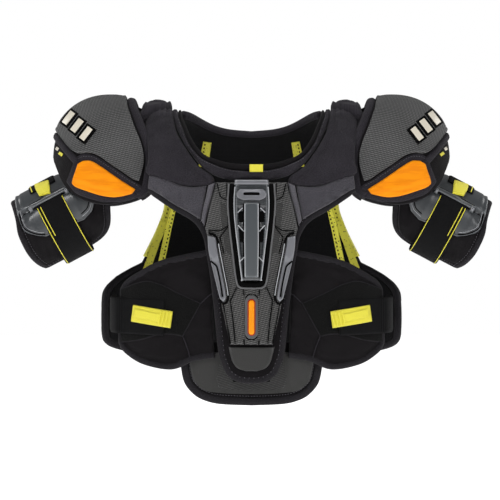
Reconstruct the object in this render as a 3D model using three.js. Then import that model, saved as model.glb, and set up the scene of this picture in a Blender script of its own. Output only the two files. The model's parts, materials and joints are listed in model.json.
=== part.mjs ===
import * as THREE from 'three';

// Ice hockey shoulder pads, senior large. Millimetres, +Z up, the wearer faces -Y.
// The origin is the middle of the neck at shoulder height.

// ---- Body surface every torso pad is laid on ----
const ROUND = 2.2;
const ARCH_BASE = -110;
const ARCH_TOP = 8;
const ARCH_LENGTH = 185;
const FRONT = { depth: 118, halfWidth: 238, sign: -1 };
const BACK = { depth: 112, halfWidth: 252, sign: 1 };
const SQUARENESS = 2.4;
const WAIST_PULL = 12;
const HEM = -430;
const NORMAL_STEP = 1.5;

// ---- Pad thicknesses, as offsets from the body surface ----
const CHEST = [0, 8];
const PLATE = [8.4, 18];
const GUARD = [18.4, 26];
const TAB = [8.4, 15];
const SPINE = [26.4, 30.4];
const VENT = [26.4, 29.4];
const BEZEL = [18.4, 21];
const ACCENT = [21.4, 23.5];
const SIDE_INSERT = [18.4, 20.5];
const COLLAR = [0, 12];
const LABEL = [12.4, 13.6];
const CLAVICLE = [0, 12];
const UPPER_PANEL = [8.8, 14];
const ARCH = [0, 21];
const NAPE = [0, 11];
const BACK_PAD = [0, 8];
const SPINE_PLATE = [8.8, 17];
const SCAPULA = [8.8, 15];
const LUMBAR = [8.8, 14];
const TAPE = [-2.2, -1];
const WING = [-9, -1];
const BELLY = [-26, -15];
const BELLY_SKIN = [-14.6, -11];
const HEM_TAPE = [-27, -10];

// ---- Waist strap: offsets from the body surface, and thicknesses ----
const WAIST_OFFSET = 2.2;
const WAIST_THICK = 2.4;
const WAIST_TAB_OFFSET = 5.4;
const WAIST_TAB_THICK = 2;

// ---- Shoulder cap ----
const CAP = { x: 215, z: -60, y: 88, top: 91, low: 190, outer: 83, inner: 116 };
const CAP_SPINE = [106, 2];
const CAP_LINER = [-8, -0.4];
const CAP_SHELL = [0, 3];
const CAP_COVER = [5.6, 8];
const CAP_INSERT = [5, 9];

// ---- Bicep guard ----
const ARM_POINT = new THREE.Vector3(294, 0, -145);
const ARM_ANGLE = 28;
const ARM_FOAM = [44, 54];
const ARM_SHELL = [55.2, 58.6];
const ARM_STRAP = [60, 62];
const ARM_TAB = [62.6, 64.4];
const ARM_BAR = [62.6, 65.4];
const LINK = { halfWidth: 18, thick: 2.5 };

// ---- Colours ----
const LOOKS = {
  foam: [0x2a282b, 0.95, 0],
  fabric: [0x3b383c, 0.9, 0],
  panel: [0x56545a, 0.85, 0],
  moulded: [0x4a4a48, 0.75, 0],
  plastic: [0x7e848a, 0.35, 0],
  silver: [0x9a9aa0, 0.3, 0.4],
  orange: [0xff9500, 0.35, 0],
  yellow: [0xe8e038, 0.7, 0],
  webbing: [0x1b1b1c, 0.9, 0],
};

const pads = new THREE.Group();

function look(name) {
  const [color, roughness, metalness] = LOOKS[name];
  return new THREE.MeshStandardMaterial({ color, roughness, metalness });
}

function power(value, exponent) {
  return Math.pow(Math.max(value, 0), exponent);
}

// ---- Torso surface: x across, s along the body from the shoulder top ----
// s is negative down the front and positive down the back.
function depthAt(side, x) {
  return side.depth * Math.sqrt(1 - power(Math.abs(x) / side.halfWidth, SQUARENESS));
}

function bodyPoint(x, s) {
  const side = s < 0 ? FRONT : BACK;
  const t = Math.abs(s) / ARCH_LENGTH;
  const depth = depthAt(side, x);
  if (t > 1) {
    const z = ARCH_BASE - (t - 1) * ARCH_LENGTH;
    const fall = (ARCH_BASE - z) / (ARCH_BASE - HEM);
    return new THREE.Vector3(x, side.sign * (depth - WAIST_PULL * fall * fall), z);
  }
  const turn = (t * Math.PI) / 2;
  const y = side.sign * depth * power(Math.sin(turn), 2 / ROUND);
  const z = ARCH_BASE + (ARCH_TOP - ARCH_BASE) * power(Math.cos(turn), 2 / ROUND);
  return new THREE.Vector3(x, y, z);
}

function bodyNormal(x, s) {
  const across = bodyPoint(x + NORMAL_STEP, s).sub(bodyPoint(x - NORMAL_STEP, s));
  const along = bodyPoint(x, s + NORMAL_STEP).sub(bodyPoint(x, s - NORMAL_STEP));
  return across.cross(along).normalize();
}

function body(x, s, offset) {
  return bodyPoint(x, s).addScaledVector(bodyNormal(x, s), offset);
}

// Turns a height into the distance along the body.
function reach(z) {
  if (z <= ARCH_BASE) {
    return ARCH_LENGTH + ARCH_BASE - z;
  }
  const share = (z - ARCH_BASE) / (ARCH_TOP - ARCH_BASE);
  return (ARCH_LENGTH * Math.acos(power(share, ROUND / 2)) * 2) / Math.PI;
}

function front(x, z) {
  return [x, -reach(z)];
}

function back(x, z) {
  return [x, reach(z)];
}

function fronts(...points) {
  return points.map(([x, z]) => front(x, z));
}

function backs(...points) {
  return points.map(([x, z]) => back(x, z));
}

function flip(points) {
  return points.map(([x, s]) => [-x, s]);
}

// ---- Ruled pads ----
function stations(count, rim) {
  const list = [0, rim];
  for (let i = 1; i < count - 2; i += 1) {
    list.push(rim + ((1 - 2 * rim) * i) / (count - 2));
  }
  list.push(1 - rim, 1);
  return list;
}

function along(points, share) {
  const lengths = [0];
  for (let i = 1; i < points.length; i += 1) {
    const step = Math.hypot(points[i][0] - points[i - 1][0], points[i][1] - points[i - 1][1]);
    lengths.push(lengths[i - 1] + step);
  }
  const wanted = share * lengths[lengths.length - 1];
  let i = 1;
  while (i < points.length - 1 && lengths[i] < wanted) {
    i += 1;
  }
  const part = (wanted - lengths[i - 1]) / (lengths[i] - lengths[i - 1]);
  return [0, 1].map((k) => points[i - 1][k] + part * (points[i][k] - points[i - 1][k]));
}

// Closes a grid of inner and outer points into one solid.
function closedGrid(inner, outer) {
  const rows = inner.length;
  const cols = inner[0].length;
  const positions = [];
  inner.flat().concat(outer.flat()).forEach((p) => positions.push(p.x, p.y, p.z));
  const low = (i, j) => i * cols + j;
  const high = (i, j) => rows * cols + i * cols + j;
  const faces = [];
  const quad = (a, b, c, d) => faces.push(a, b, c, a, c, d);
  for (let i = 0; i < rows - 1; i += 1) {
    for (let j = 0; j < cols - 1; j += 1) {
      quad(low(i, j), low(i, j + 1), low(i + 1, j + 1), low(i + 1, j));
      quad(high(i, j), high(i + 1, j), high(i + 1, j + 1), high(i, j + 1));
    }
  }
  for (let i = 0; i < rows - 1; i += 1) {
    quad(low(i, 0), low(i + 1, 0), high(i + 1, 0), high(i, 0));
    quad(low(i, cols - 1), high(i, cols - 1), high(i + 1, cols - 1), low(i + 1, cols - 1));
  }
  for (let j = 0; j < cols - 1; j += 1) {
    quad(low(0, j), high(0, j), high(0, j + 1), low(0, j + 1));
    quad(low(rows - 1, j), low(rows - 1, j + 1), high(rows - 1, j + 1), high(rows - 1, j));
  }
  return solid(positions, faces);
}

// Turns the faces outward and returns the geometry.
function solid(positions, faces) {
  let volume = 0;
  for (let i = 0; i < faces.length; i += 3) {
    const [a, b, c] = [0, 1, 2].map((k) => new THREE.Vector3().fromArray(positions, faces[i + k] * 3));
    volume += a.dot(b.cross(c));
  }
  const turned = volume > 0 ? faces : faces.slice().reverse();
  const geometry = new THREE.BufferGeometry();
  geometry.setAttribute('position', new THREE.Float32BufferAttribute(positions, 3));
  geometry.setIndex(turned);
  geometry.computeVertexNormals();
  return geometry;
}

function mirrored(geometry) {
  const copy = geometry.clone();
  copy.scale(-1, 1, 1);
  copy.setIndex(Array.from(copy.index.array).reverse());
  copy.computeVertexNormals();
  return copy;
}

function place(name, lookName, geometry) {
  const mesh = new THREE.Mesh(geometry, look(lookName));
  mesh.name = name;
  pads.add(mesh);
}

function pair(name, lookName, geometry) {
  place(`${name}_left`, lookName, geometry);
  place(`${name}_right`, lookName, mirrored(geometry));
}

// A pad between two edges; its outer face steps down at the rim like stitched foam.
function ruled({ a, b, span, rows = 8, cols = 6, rim = 0.07, lip = 0.5, surface = body }) {
  const [low, high] = span;
  const us = stations(rows, rim);
  const vs = stations(cols, rim);
  const inner = [];
  const outer = [];
  us.forEach((u, i) => {
    const p = along(a, u);
    const q = along(b, u);
    const onRimRow = i === 0 || i === us.length - 1;
    inner.push([]);
    outer.push([]);
    vs.forEach((v, j) => {
      const onRim = onRimRow || j === 0 || j === vs.length - 1;
      const x = p[0] + v * (q[0] - p[0]);
      const s = p[1] + v * (q[1] - p[1]);
      const top = onRim ? low + lip * (high - low) : high;
      inner[i].push(surface(x, s, low));
      outer[i].push(surface(x, s, top));
    });
  });
  return closedGrid(inner, outer);
}

// ---- Chest ----
const chestEdge = fronts([151, -96], [153, -108], [137, -120], [115, -135], [92, -148], [80, -159],
  [70, -174], [67, -195], [62, -225], [55, -285], [49, -345], [44, -363], [37, -380], [20, -392]);
place('chest_pad', 'foam', ruled({ a: flip(chestEdge), b: chestEdge, span: CHEST, rows: 12, cols: 8 }));

const plateEdge = fronts([51, -98], [61, -128], [68, -162], [64, -177], [58, -213], [45, -267],
  [42, -285], [36, -315], [31, -335]);
place('chest_plate', 'moulded', ruled({
  a: flip(plateEdge), b: plateEdge, span: PLATE, rows: 12, cols: 8, rim: 0.05, lip: 0.6,
}));

const tabEdge = fronts([34, -338], [29, -360], [22, -372], [10, -377]);
place('lower_tab', 'plastic', ruled({
  a: flip(tabEdge), b: tabEdge, span: TAB, rows: 5, cols: 5,
}));

const guardEdge = fronts([27, -101], [31, -122], [30, -150], [24, -195], [16, -246]);
place('sternum_guard', 'plastic', ruled({
  a: flip(guardEdge), b: guardEdge, span: GUARD, rows: 8, cols: 6, rim: 0.1, lip: 0.4,
}));

const spineEdge = fronts([11, -124], [12, -135], [9, -235]);
place('sternum_spine', 'plastic', ruled({
  a: flip(spineEdge), b: spineEdge, span: SPINE, rows: 5, cols: 4, rim: 0.2,
}));

const ventEdge = fronts([20, -107], [21, -113], [18, -120]);
place('sternum_vent', 'silver', ruled({
  a: flip(ventEdge), b: ventEdge, span: VENT, rows: 4, cols: 4, rim: 0.2,
}));

const bezelEdge = fronts([9, -262], [11, -270], [11, -318], [8, -326]);
place('accent_bezel', 'silver', ruled({
  a: flip(bezelEdge), b: bezelEdge, span: BEZEL, rows: 5, cols: 4, rim: 0.2,
}));

const accentEdge = fronts([4, -269], [5, -280], [5, -321]);
place('accent_insert', 'orange', ruled({
  a: flip(accentEdge), b: accentEdge, span: ACCENT, rows: 4, cols: 3, rim: 0.2,
}));

pair('side_insert', 'silver', ruled({
  a: fronts([48, -182], [44, -215], [34, -262]),
  b: fronts([58, -184], [54, -213], [41, -263]),
  span: SIDE_INSERT, rows: 6, cols: 3, rim: 0.15,
}));

// ---- Neck and shoulders ----
const neckInner = [[106, 52], [106, 0], ...fronts([104, 1], [97, -15], [87, -35], [72, -53],
  [55, -59], [32, -66], [0, -68])];
const shifted = (edge, by) => edge.map(([x, s]) => [x + by, s]);
const neckOuter = [[121, 52], [120, 0], ...fronts([118, 0], [111, -15], [101, -34], [89, -52],
  [74, -71], [56, -83], [31, -90], [0, -92])];
const wholeNeck = (half) => half.concat(flip(half).reverse().slice(1));
place('front_collar', 'foam', ruled({
  a: wholeNeck(neckInner), b: wholeNeck(neckOuter), span: COLLAR, rows: 16, cols: 3, rim: 0.02,
}));
place('collar_label', 'yellow', ruled({
  a: fronts([17, -80], [17, -91]), b: fronts([-3, -80.5], [-3, -91.5]), span: LABEL,
  rows: 3, cols: 3,
}));

pair('clavicle_pad', 'fabric', ruled({
  a: shifted(fronts([120, -2], [113, -15], [104, -34], [92, -52], [77, -71], [57, -86], [54, -94]), 1.4),
  b: fronts([151, -4], [151, -22], [151, -40], [151, -58], [151, -72], [150, -94]),
  span: CLAVICLE, rows: 8, cols: 6,
}));
pair('upper_chest_panel', 'panel', ruled({
  a: fronts([149, -97], [107, -101], [86, -103], [54, -100]),
  b: fronts([151, -104], [122, -123], [92, -140], [70, -160]),
  span: UPPER_PANEL, rows: 8, cols: 4,
}));
pair('shoulder_arch', 'fabric', ruled({
  a: [[123, 50], [123, 0], front(122, 4)],
  b: [[163, 50], [163, 0], front(159, 2)],
  span: ARCH, rows: 10, cols: 5, rim: 0.1, lip: 0.6,
}));

// ---- Back ----
const napeInner = [[106, 54], ...backs([98, -5], [82, -9], [42, -22], [0, -26])];
const napeOuter = [[121, 54], ...backs([115, -12], [90, -23], [45, -36], [0, -40])];
const napeEdge = backs([158, -7], [124, -8], [116, -14], [91, -25], [45, -38], [0, -42]);
const bladeLine = backs([146, -60], [100, -60], [40, -60], [0, -60]);
place('back_collar', 'foam', ruled({
  a: wholeNeck(napeInner), b: wholeNeck(napeOuter), span: NAPE, rows: 14, cols: 3, rim: 0.03,
}));
place('upper_back_pad', 'fabric', ruled({
  a: wholeNeck(napeEdge), b: wholeNeck(bladeLine), span: BACK_PAD, rows: 14, cols: 3, rim: 0.04,
}));
const backEdge = backs([145, -61], [140, -75], [128, -120], [135, -160], [155, -213],
  [182, -222], [205, -236], [221, -252], [226, -272], [226, -320], [219, -340], [190, -352]);
place('back_pad', 'foam', ruled({
  a: flip(backEdge), b: backEdge, span: BACK_PAD, rows: 12, cols: 10, rim: 0.04,
}));
const spinePlateEdge = backs([34, -70], [40, -110], [34, -180], [28, -221]);
place('spine_plate', 'moulded', ruled({
  a: flip(spinePlateEdge), b: spinePlateEdge, span: SPINE_PLATE, rows: 8, cols: 6, rim: 0.08,
}));
pair('scapula_plate', 'panel', ruled({
  a: backs([46, -74], [52, -110], [46, -178]), b: backs([132, -74], [118, -122], [100, -182]),
  span: SCAPULA, rows: 6, cols: 5, rim: 0.1,
}));
const lowerPlateEdge = backs([100, -226], [136, -236], [146, -262], [144, -300], [120, -334]);
place('lower_back_plate', 'panel', ruled({
  a: flip(lowerPlateEdge), b: lowerPlateEdge, span: LUMBAR, rows: 7, cols: 10, rim: 0.05,
}));
pair('outer_tape', 'yellow', ruled({
  a: backs([121, -131], [133, -165], [152, -221]), b: backs([127, -131], [134.5, -160], [155, -221]),
  span: TAPE, rows: 6, cols: 3, rim: 0.1,
}));

// ---- Waist ----
pair('side_wing', 'panel', ruled({
  a: fronts([64, -199], [117, -210], [143, -218], [162, -228], [187, -243], [196, -255]),
  b: fronts([58, -342], [75, -350], [93, -357], [122, -370], [163, -362], [190, -347], [199, -334]),
  span: WING, rows: 9, cols: 6, rim: 0.06,
}));

const bellyEdge = fronts([97, -352], [97, -368], [93, -392], [85, -404], [72, -411], [46, -415],
  [20, -416]);
place('belly_pad', 'foam', ruled({
  a: flip(bellyEdge), b: bellyEdge, span: BELLY, rows: 8, cols: 10, rim: 0.05,
}));
const bellyPlateEdge = fronts([93, -350], [92, -368], [88, -390], [80, -400], [66, -407], [30, -411]);
place('belly_plate', 'moulded', ruled({
  a: flip(bellyPlateEdge), b: bellyPlateEdge, span: BELLY_SKIN, rows: 7, cols: 10,
}));
const hemOuter = fronts([111, -352], [106, -380], [100, -397], [83, -414], [68, -421], [48, -426],
  [0, -429]);
const hemInner = fronts([98, -352], [98, -370], [94, -394], [84, -406], [70, -413], [46, -417],
  [0, -418]);
place('belly_binding', 'foam', ruled({
  a: wholeNeck(hemOuter), b: wholeNeck(hemInner), span: HEM_TAPE, rows: 16, cols: 3, rim: 0.03,
  lip: 0.8,
}));

// A webbing strip along a plan curve, between two heights at each end.
function strip({ curve, top, bottom, thick, steps = 10, columns = 3 }) {
  const inner = [];
  const outer = [];
  for (let i = 0; i <= steps; i += 1) {
    const share = i / steps;
    const p = curve.getPoint(share);
    const tangent = curve.getTangent(share);
    const normal = new THREE.Vector3(-tangent.y, tangent.x, 0).normalize();
    const high = top[0] + share * (top[1] - top[0]);
    const low = bottom[0] + share * (bottom[1] - bottom[0]);
    inner.push([]);
    outer.push([]);
    for (let j = 0; j <= columns; j += 1) {
      const z = high + ((low - high) * j) / columns;
      inner[i].push(new THREE.Vector3(p.x, p.y, z));
      outer[i].push(new THREE.Vector3(p.x, p.y, z).addScaledVector(normal, -thick));
    }
  }
  return closedGrid(inner, outer);
}

function planCurve(xs, offset, height, extra) {
  const points = xs.map((x) => {
    const p = body(x, front(x, height)[1], offset);
    return new THREE.Vector3(p.x, p.y, 0);
  });
  return new THREE.CatmullRomCurve3(points.concat(extra.map(([x, y]) => new THREE.Vector3(x, y, 0))));
}

const WAIST = -298;
const waistCurve = planCurve([130, 150, 170, 188], WAIST_OFFSET, WAIST, [[205, -70], [213, -45], [216, 0],
  [213, 50]]);
pair('waist_strap', 'webbing', strip({
  curve: waistCurve, top: [-272, -262], bottom: [-322, -318], thick: WAIST_THICK, steps: 16,
}));
const tabCurve = planCurve([118, 148, 174], WAIST_TAB_OFFSET, WAIST, []);
pair('waist_pull_tab', 'yellow', strip({
  curve: tabCurve, top: [-287, -278], bottom: [-311, -303], thick: WAIST_TAB_THICK, steps: 5,
}));

// ---- Shoulder caps: a dome cut away under the arm and toward the neck ----
function capRest(dx, dz) {
  const u = Math.abs(dx) / (dx > 0 ? CAP.outer : CAP.inner);
  const w = Math.abs(dz) / (dz > 0 ? CAP.top : CAP.low);
  return [power(u, ROUND), power(w, ROUND)];
}

function capDome(x, z, sign, offset) {
  const dx = x - CAP.x;
  const dz = z - CAP.z;
  const [u, w] = capRest(dx, dz);
  const y = sign * CAP.y * power(1 - u - w, 1 / ROUND);
  const reachX = dx > 0 ? CAP.outer : CAP.inner;
  const reachZ = dz > 0 ? CAP.top : CAP.low;
  const slope = (value, size) => (Math.sign(value) * power(Math.abs(value) / size, ROUND - 1)) / size;
  const normal = new THREE.Vector3(slope(dx, reachX), slope(y, CAP.y), slope(dz, reachZ)).normalize();
  return new THREE.Vector3(x, y, z).addScaledVector(normal, offset);
}

function capSpine(degrees) {
  const angle = (degrees * Math.PI) / 180;
  const across = Math.cos(angle);
  const reachX = across > 0 ? CAP.outer : CAP.inner;
  return [
    CAP.x + Math.sign(across) * reachX * power(Math.abs(across), 2 / ROUND),
    CAP.z + CAP.top * power(Math.sin(angle), 2 / ROUND),
  ];
}

// A dome layer from the front rim, over the spine, to the back rim.
function capLayer({ spine = CAP_SPINE, rim, span, rows = 11, bends = 6 }) {
  const inner = [];
  const outer = [];
  for (let i = 0; i <= rows; i += 1) {
    const share = i / rows;
    const ridge = capSpine(spine[0] + share * (spine[1] - spine[0]));
    const edge = along(rim, share);
    const points = [];
    for (let j = -bends; j <= bends; j += 1) {
      const w = 1 - Math.cos(((j / bends) * Math.PI) / 2);
      const x = ridge[0] + w * (edge[0] - ridge[0]);
      const z = ridge[1] + w * (edge[1] - ridge[1]);
      points.push([x, z, j <= 0 ? 1 : -1]);
    }
    inner.push(points.map(([x, z, sign]) => capDome(x, z, sign, span[0])));
    outer.push(points.map(([x, z, sign]) => capDome(x, z, sign, span[1])));
  }
  return closedGrid(inner, outer);
}

const capRim = [[176, 16], [164, -12], [158, -27], [153, -48], [153, -60], [155, -90], [158, -106],
  [172, -115], [197, -123], [222, -126], [250, -120], [268, -109], [283, -91], [293, -66]];
const coverRim = [[179, 14], [170, -17], [164, -33], [160, -48], [160, -60], [164, -75], [169, -89],
  [179, -87], [194, -78], [212, -66], [227, -55], [239, -50], [257, -50], [267, -44], [277, -32],
  [285, -21]];
const capFront = (x, z, offset) => capDome(x, z, -1, offset);

pair('cap_liner', 'foam', capLayer({ rim: capRim, span: CAP_LINER }));
pair('cap_shell', 'fabric', capLayer({ rim: capRim, span: CAP_SHELL }));
pair('cap_cover', 'moulded', capLayer({ spine: [105, 28], rim: coverRim, span: CAP_COVER, rows: 11 }));
pair('cap_insert', 'orange', ruled({
  a: [[176, -103], [194, -92], [212, -79], [238, -62], [257, -64]],
  b: [[185, -110], [197, -113], [212, -114], [240, -107], [265, -95]],
  span: CAP_INSERT, rows: 9, cols: 4, rim: 0.08, lip: 0.4, surface: capFront,
}));

// ---- Bicep guards: open foam cuffs round the upper arm ----
const armTurn = (ARM_ANGLE * Math.PI) / 180;
const armOut = new THREE.Vector3(Math.cos(armTurn), 0, -Math.sin(armTurn));
const armUp = new THREE.Vector3(Math.sin(armTurn), 0, Math.cos(armTurn));
const armBack = new THREE.Vector3(0, 1, 0);

// u runs out along the arm; turn is 0 at the top, negative toward the front.
function arm(u, turn, radius) {
  const angle = (turn * Math.PI) / 180;
  return ARM_POINT.clone()
    .addScaledVector(armOut, u)
    .addScaledVector(armUp, radius * Math.cos(angle))
    .addScaledVector(armBack, radius * Math.sin(angle));
}

pair('bicep_foam', 'foam', ruled({
  a: [[-38, 72], [-40, 0], [-72, -60], [-82, -100], [-66, -130], [-40, -165]],
  b: [[52, 72], [62, 0], [64, -60], [62, -100], [56, -130], [46, -165]],
  span: ARM_FOAM, rows: 12, cols: 5, rim: 0.05, surface: arm,
}));
pair('bicep_shell', 'plastic', ruled({
  a: [[-30, 55], [-34, 0], [-60, -55], [-76, -82], [-62, -112]],
  b: [[44, 55], [56, 0], [57, -55], [55, -96], [36, -112]],
  span: ARM_SHELL, rows: 12, cols: 5, rim: 0.06, surface: arm,
}));
pair('bicep_strap', 'webbing', ruled({
  a: [[-24, -50], [-24, -190], [-24, -318]], b: [[23, -50], [23, -190], [23, -318]],
  span: ARM_STRAP, rows: 17, cols: 3, rim: 0.03, lip: 1, surface: arm,
}));
pair('bicep_strap_end', 'webbing', ruled({
  a: [[-22, 40], [-22, 0], [-22, -44]], b: [[21, 40], [21, 0], [21, -44]],
  span: ARM_STRAP, rows: 8, cols: 3, rim: 0.06, lip: 1, surface: arm,
}));
pair('bicep_pull_tab', 'yellow', ruled({
  a: [[-12, -24], [-12, -42]], b: [[12, -24], [12, -42]],
  span: ARM_TAB, rows: 4, cols: 3, rim: 0.12, lip: 1, surface: arm,
}));
pair('bicep_bar', 'silver', ruled({
  a: [[-30, -66], [-30, -70]], b: [[29, -66], [29, -70]],
  span: ARM_BAR, rows: 3, cols: 3, rim: 0.2, lip: 1, surface: arm,
}));

// Elastic link from the top of the cap down to the cuff.
function link(points, { halfWidth, thick } = LINK, steps = 7) {
  const curve = new THREE.CatmullRomCurve3(points.map(([x, z]) => new THREE.Vector3(x, 0, z)));
  const inner = [];
  const outer = [];
  for (let i = 0; i <= steps; i += 1) {
    const p = curve.getPoint(i / steps);
    const tangent = curve.getTangent(i / steps);
    const normal = new THREE.Vector3(-tangent.z, 0, tangent.x);
    const row = [-halfWidth, 0, halfWidth].map((y) => new THREE.Vector3(p.x, y, p.z));
    inner.push(row);
    outer.push(row.map((q) => q.clone().addScaledVector(normal, thick)));
  }
  return closedGrid(inner, outer);
}

pair('bicep_link', 'webbing', link([[234, 14], [248, 0], [262, -30], [275, -64]]));

export default pads;
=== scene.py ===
import json
import math

import bmesh
import bpy
import numpy as np
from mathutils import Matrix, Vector

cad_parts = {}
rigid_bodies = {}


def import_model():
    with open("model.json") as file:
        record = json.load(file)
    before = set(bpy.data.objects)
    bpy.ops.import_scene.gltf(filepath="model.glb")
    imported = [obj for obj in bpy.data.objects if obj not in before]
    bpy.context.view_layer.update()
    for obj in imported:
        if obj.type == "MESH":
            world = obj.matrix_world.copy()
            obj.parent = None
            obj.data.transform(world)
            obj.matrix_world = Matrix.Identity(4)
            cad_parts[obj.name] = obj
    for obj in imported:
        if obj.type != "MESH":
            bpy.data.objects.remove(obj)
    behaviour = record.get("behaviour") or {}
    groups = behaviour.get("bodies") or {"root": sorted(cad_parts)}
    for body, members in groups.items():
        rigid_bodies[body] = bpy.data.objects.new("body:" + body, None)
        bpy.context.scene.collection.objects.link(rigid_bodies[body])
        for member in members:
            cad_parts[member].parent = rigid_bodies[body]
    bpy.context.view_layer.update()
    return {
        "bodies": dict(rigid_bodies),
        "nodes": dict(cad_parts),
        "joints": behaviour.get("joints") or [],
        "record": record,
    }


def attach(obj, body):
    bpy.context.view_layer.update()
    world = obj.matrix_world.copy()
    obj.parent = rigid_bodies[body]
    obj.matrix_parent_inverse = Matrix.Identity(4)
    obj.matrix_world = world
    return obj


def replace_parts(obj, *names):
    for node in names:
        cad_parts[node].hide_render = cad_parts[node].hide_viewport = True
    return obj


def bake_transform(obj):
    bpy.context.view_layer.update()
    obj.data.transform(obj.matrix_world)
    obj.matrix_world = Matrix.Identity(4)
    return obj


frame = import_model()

# Hockey shoulder pads. Shapes are worked out in millimetres and stored in metres.
MM = 0.001

# ---------------------------------------------------------------- body surface
ROUND, CHEST_ROUND = 2.2, 2.4  # how square the shoulder arch and the chest's plan are
ARCH_BASE, ARCH_TOP, ARCH_LENGTH = -110.0, 8.0, 185.0
FRONT_DEPTH, FRONT_HALF = 118.0, 238.0
BACK_DEPTH, BACK_HALF = 112.0, 252.0
WAIST_PULL, HEM = 12.0, -430.0
CAP = {"x": 215.0, "z": -60.0, "y": 88.0, "top": 91.0, "low": 190.0, "outer": 83.0, "inner": 116.0}
ARM_POINT = np.array([294.0, 0.0, -145.0])
ARM_ANGLE = math.radians(28)
CUFF_SAG = 7.0
ARM_OUT = np.array([math.cos(ARM_ANGLE), 0, -math.sin(ARM_ANGLE)])
ARM_UP = np.array([math.sin(ARM_ANGLE), 0, math.cos(ARM_ANGLE)])
ARM_BACK = np.array([0.0, 1.0, 0.0])


def power(value, exponent):
    return np.power(np.maximum(value, 0), exponent)


def unit(v):
    return v / np.maximum(np.linalg.norm(v, axis=-1, keepdims=True), 1e-9)


def body_point(x, s):
    """Torso surface: x across, s along the body from the shoulder top, negative down the front."""
    x, s = np.asarray(x, float), np.asarray(s, float)
    face = s < 0
    depth = np.where(face, FRONT_DEPTH, BACK_DEPTH)
    half = np.where(face, FRONT_HALF, BACK_HALF)
    depth = depth * np.sqrt(np.maximum(1 - power(np.abs(x) / half, CHEST_ROUND), 0.0004))
    t = np.abs(s) / ARCH_LENGTH
    turn = np.minimum(t, 1) * math.pi / 2
    z_low = ARCH_BASE - (t - 1) * ARCH_LENGTH
    fall = np.maximum(ARCH_BASE - z_low, 0) / (ARCH_BASE - HEM)
    y = np.where(t > 1, depth - WAIST_PULL * fall * fall, depth * power(np.sin(turn), 2 / ROUND))
    z_arch = ARCH_BASE + (ARCH_TOP - ARCH_BASE) * power(np.cos(turn), 2 / ROUND)
    z = np.where(t > 1, z_low, z_arch)
    return np.stack([x, np.where(face, -y, y), z], -1)


def body(x, s, offset):
    """Point standing off the torso surface by the offset."""
    step = 1.5
    across = body_point(x + step, s) - body_point(x - step, s)
    along = body_point(x, s + step) - body_point(x, s - step)
    normal = unit(np.cross(across, along))
    return body_point(x, s) + normal * np.asarray(offset)[..., None]


def reach(z):
    """Distance along the body from the shoulder top down to a height of at most ARCH_TOP."""
    if z <= ARCH_BASE:
        return ARCH_LENGTH + ARCH_BASE - z
    share = (z - ARCH_BASE) / (ARCH_TOP - ARCH_BASE)
    return ARCH_LENGTH * math.acos(share ** (ROUND / 2)) * 2 / math.pi


def fronts(*points):
    """(x, z) points on the front, as (x, s)."""
    return [(x, -reach(z)) for x, z in points]


def backs(*points):
    return [(x, reach(z)) for x, z in points]


def flip(points):
    return [(-x, s) for x, s in points]


def whole(half):
    """A line from its outer end to the middle, and on along its mirror."""
    return list(half) + flip(half)[::-1][1:]


def cap_surface(sign):
    """The cap's dome over (x, z): its front half for sign -1, its back half for 1."""
    def surface(x, z, offset):
        dx, dz = np.asarray(x, float) - CAP["x"], np.asarray(z, float) - CAP["z"]
        rx = np.where(dx > 0, CAP["outer"], CAP["inner"])
        rz = np.where(dz > 0, CAP["top"], CAP["low"])
        rest = 1 - power(np.abs(dx) / rx, ROUND) - power(np.abs(dz) / rz, ROUND)
        y = sign * CAP["y"] * power(rest, 1 / ROUND)
        slope = lambda v, r: np.sign(v) * power(np.abs(v) / r, ROUND - 1) / r
        normal = unit(np.stack([slope(dx, rx), slope(y, CAP["y"]), slope(dz, rz)], -1))
        base = np.stack([CAP["x"] + dx, y, CAP["z"] + dz], -1)
        return base + normal * np.asarray(offset)[..., None]
    return surface


cap_front, cap_back = cap_surface(-1), cap_surface(1)


def arm(u, turn, radius):
    """Round the cuff: u along the arm, turn 0 on top and negative to the front; the cuff sags below."""
    a = np.radians(turn)
    r = np.asarray(radius) + CUFF_SAG * power(-np.cos(a), 1.5)
    return (ARM_POINT + np.asarray(u)[..., None] * ARM_OUT
            + (r * np.cos(a))[..., None] * ARM_UP + (r * np.sin(a))[..., None] * ARM_BACK)


# ---------------------------------------------------------------- outlines
def smooth(points, per=10, corners=()):
    """Catmull-Rom curve through the points; listed indexes stay sharp."""
    p = np.array(points, float)
    out = []
    for i in range(len(p) - 1):
        a = 2 * p[i] - p[i + 1] if i == 0 or i in corners else p[i - 1]
        d = 2 * p[i + 1] - p[i] if i + 2 >= len(p) or i + 1 in corners else p[i + 2]
        for k in range(per):
            t = k / per
            out.append(0.5 * ((2 * p[i]) + (-a + p[i + 1]) * t
                              + (2 * a - 5 * p[i] + 4 * p[i + 1] - d) * t * t
                              + (-a + 3 * p[i] - 3 * p[i + 1] + d) * t ** 3))
    out.append(p[-1])
    return np.array(out)


def resample(points, shares):
    """Points at the given shares of a polyline's length."""
    p = np.asarray(points, float)
    length = np.concatenate([[0], np.cumsum(np.linalg.norm(np.diff(p, axis=0), axis=1))])
    wanted = np.asarray(shares) * length[-1]
    return np.stack([np.interp(wanted, length, p[:, k]) for k in range(p.shape[1])], -1)


def length_of(points):
    return float(np.linalg.norm(np.diff(np.asarray(points, float), axis=0), axis=1).sum())


def near(q, line):
    """Distance from each point of q to a polyline."""
    line = np.asarray(line, float)
    best = np.full(q.shape[:-1], 1e9)
    for a, b in zip(line[:-1], line[1:]):
        d = b - a
        t = np.clip(((q - a) @ d) / max(d @ d, 1e-9), 0, 1)
        best = np.minimum(best, np.linalg.norm(q - (a + t[..., None] * d), axis=-1))
    return best


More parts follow.
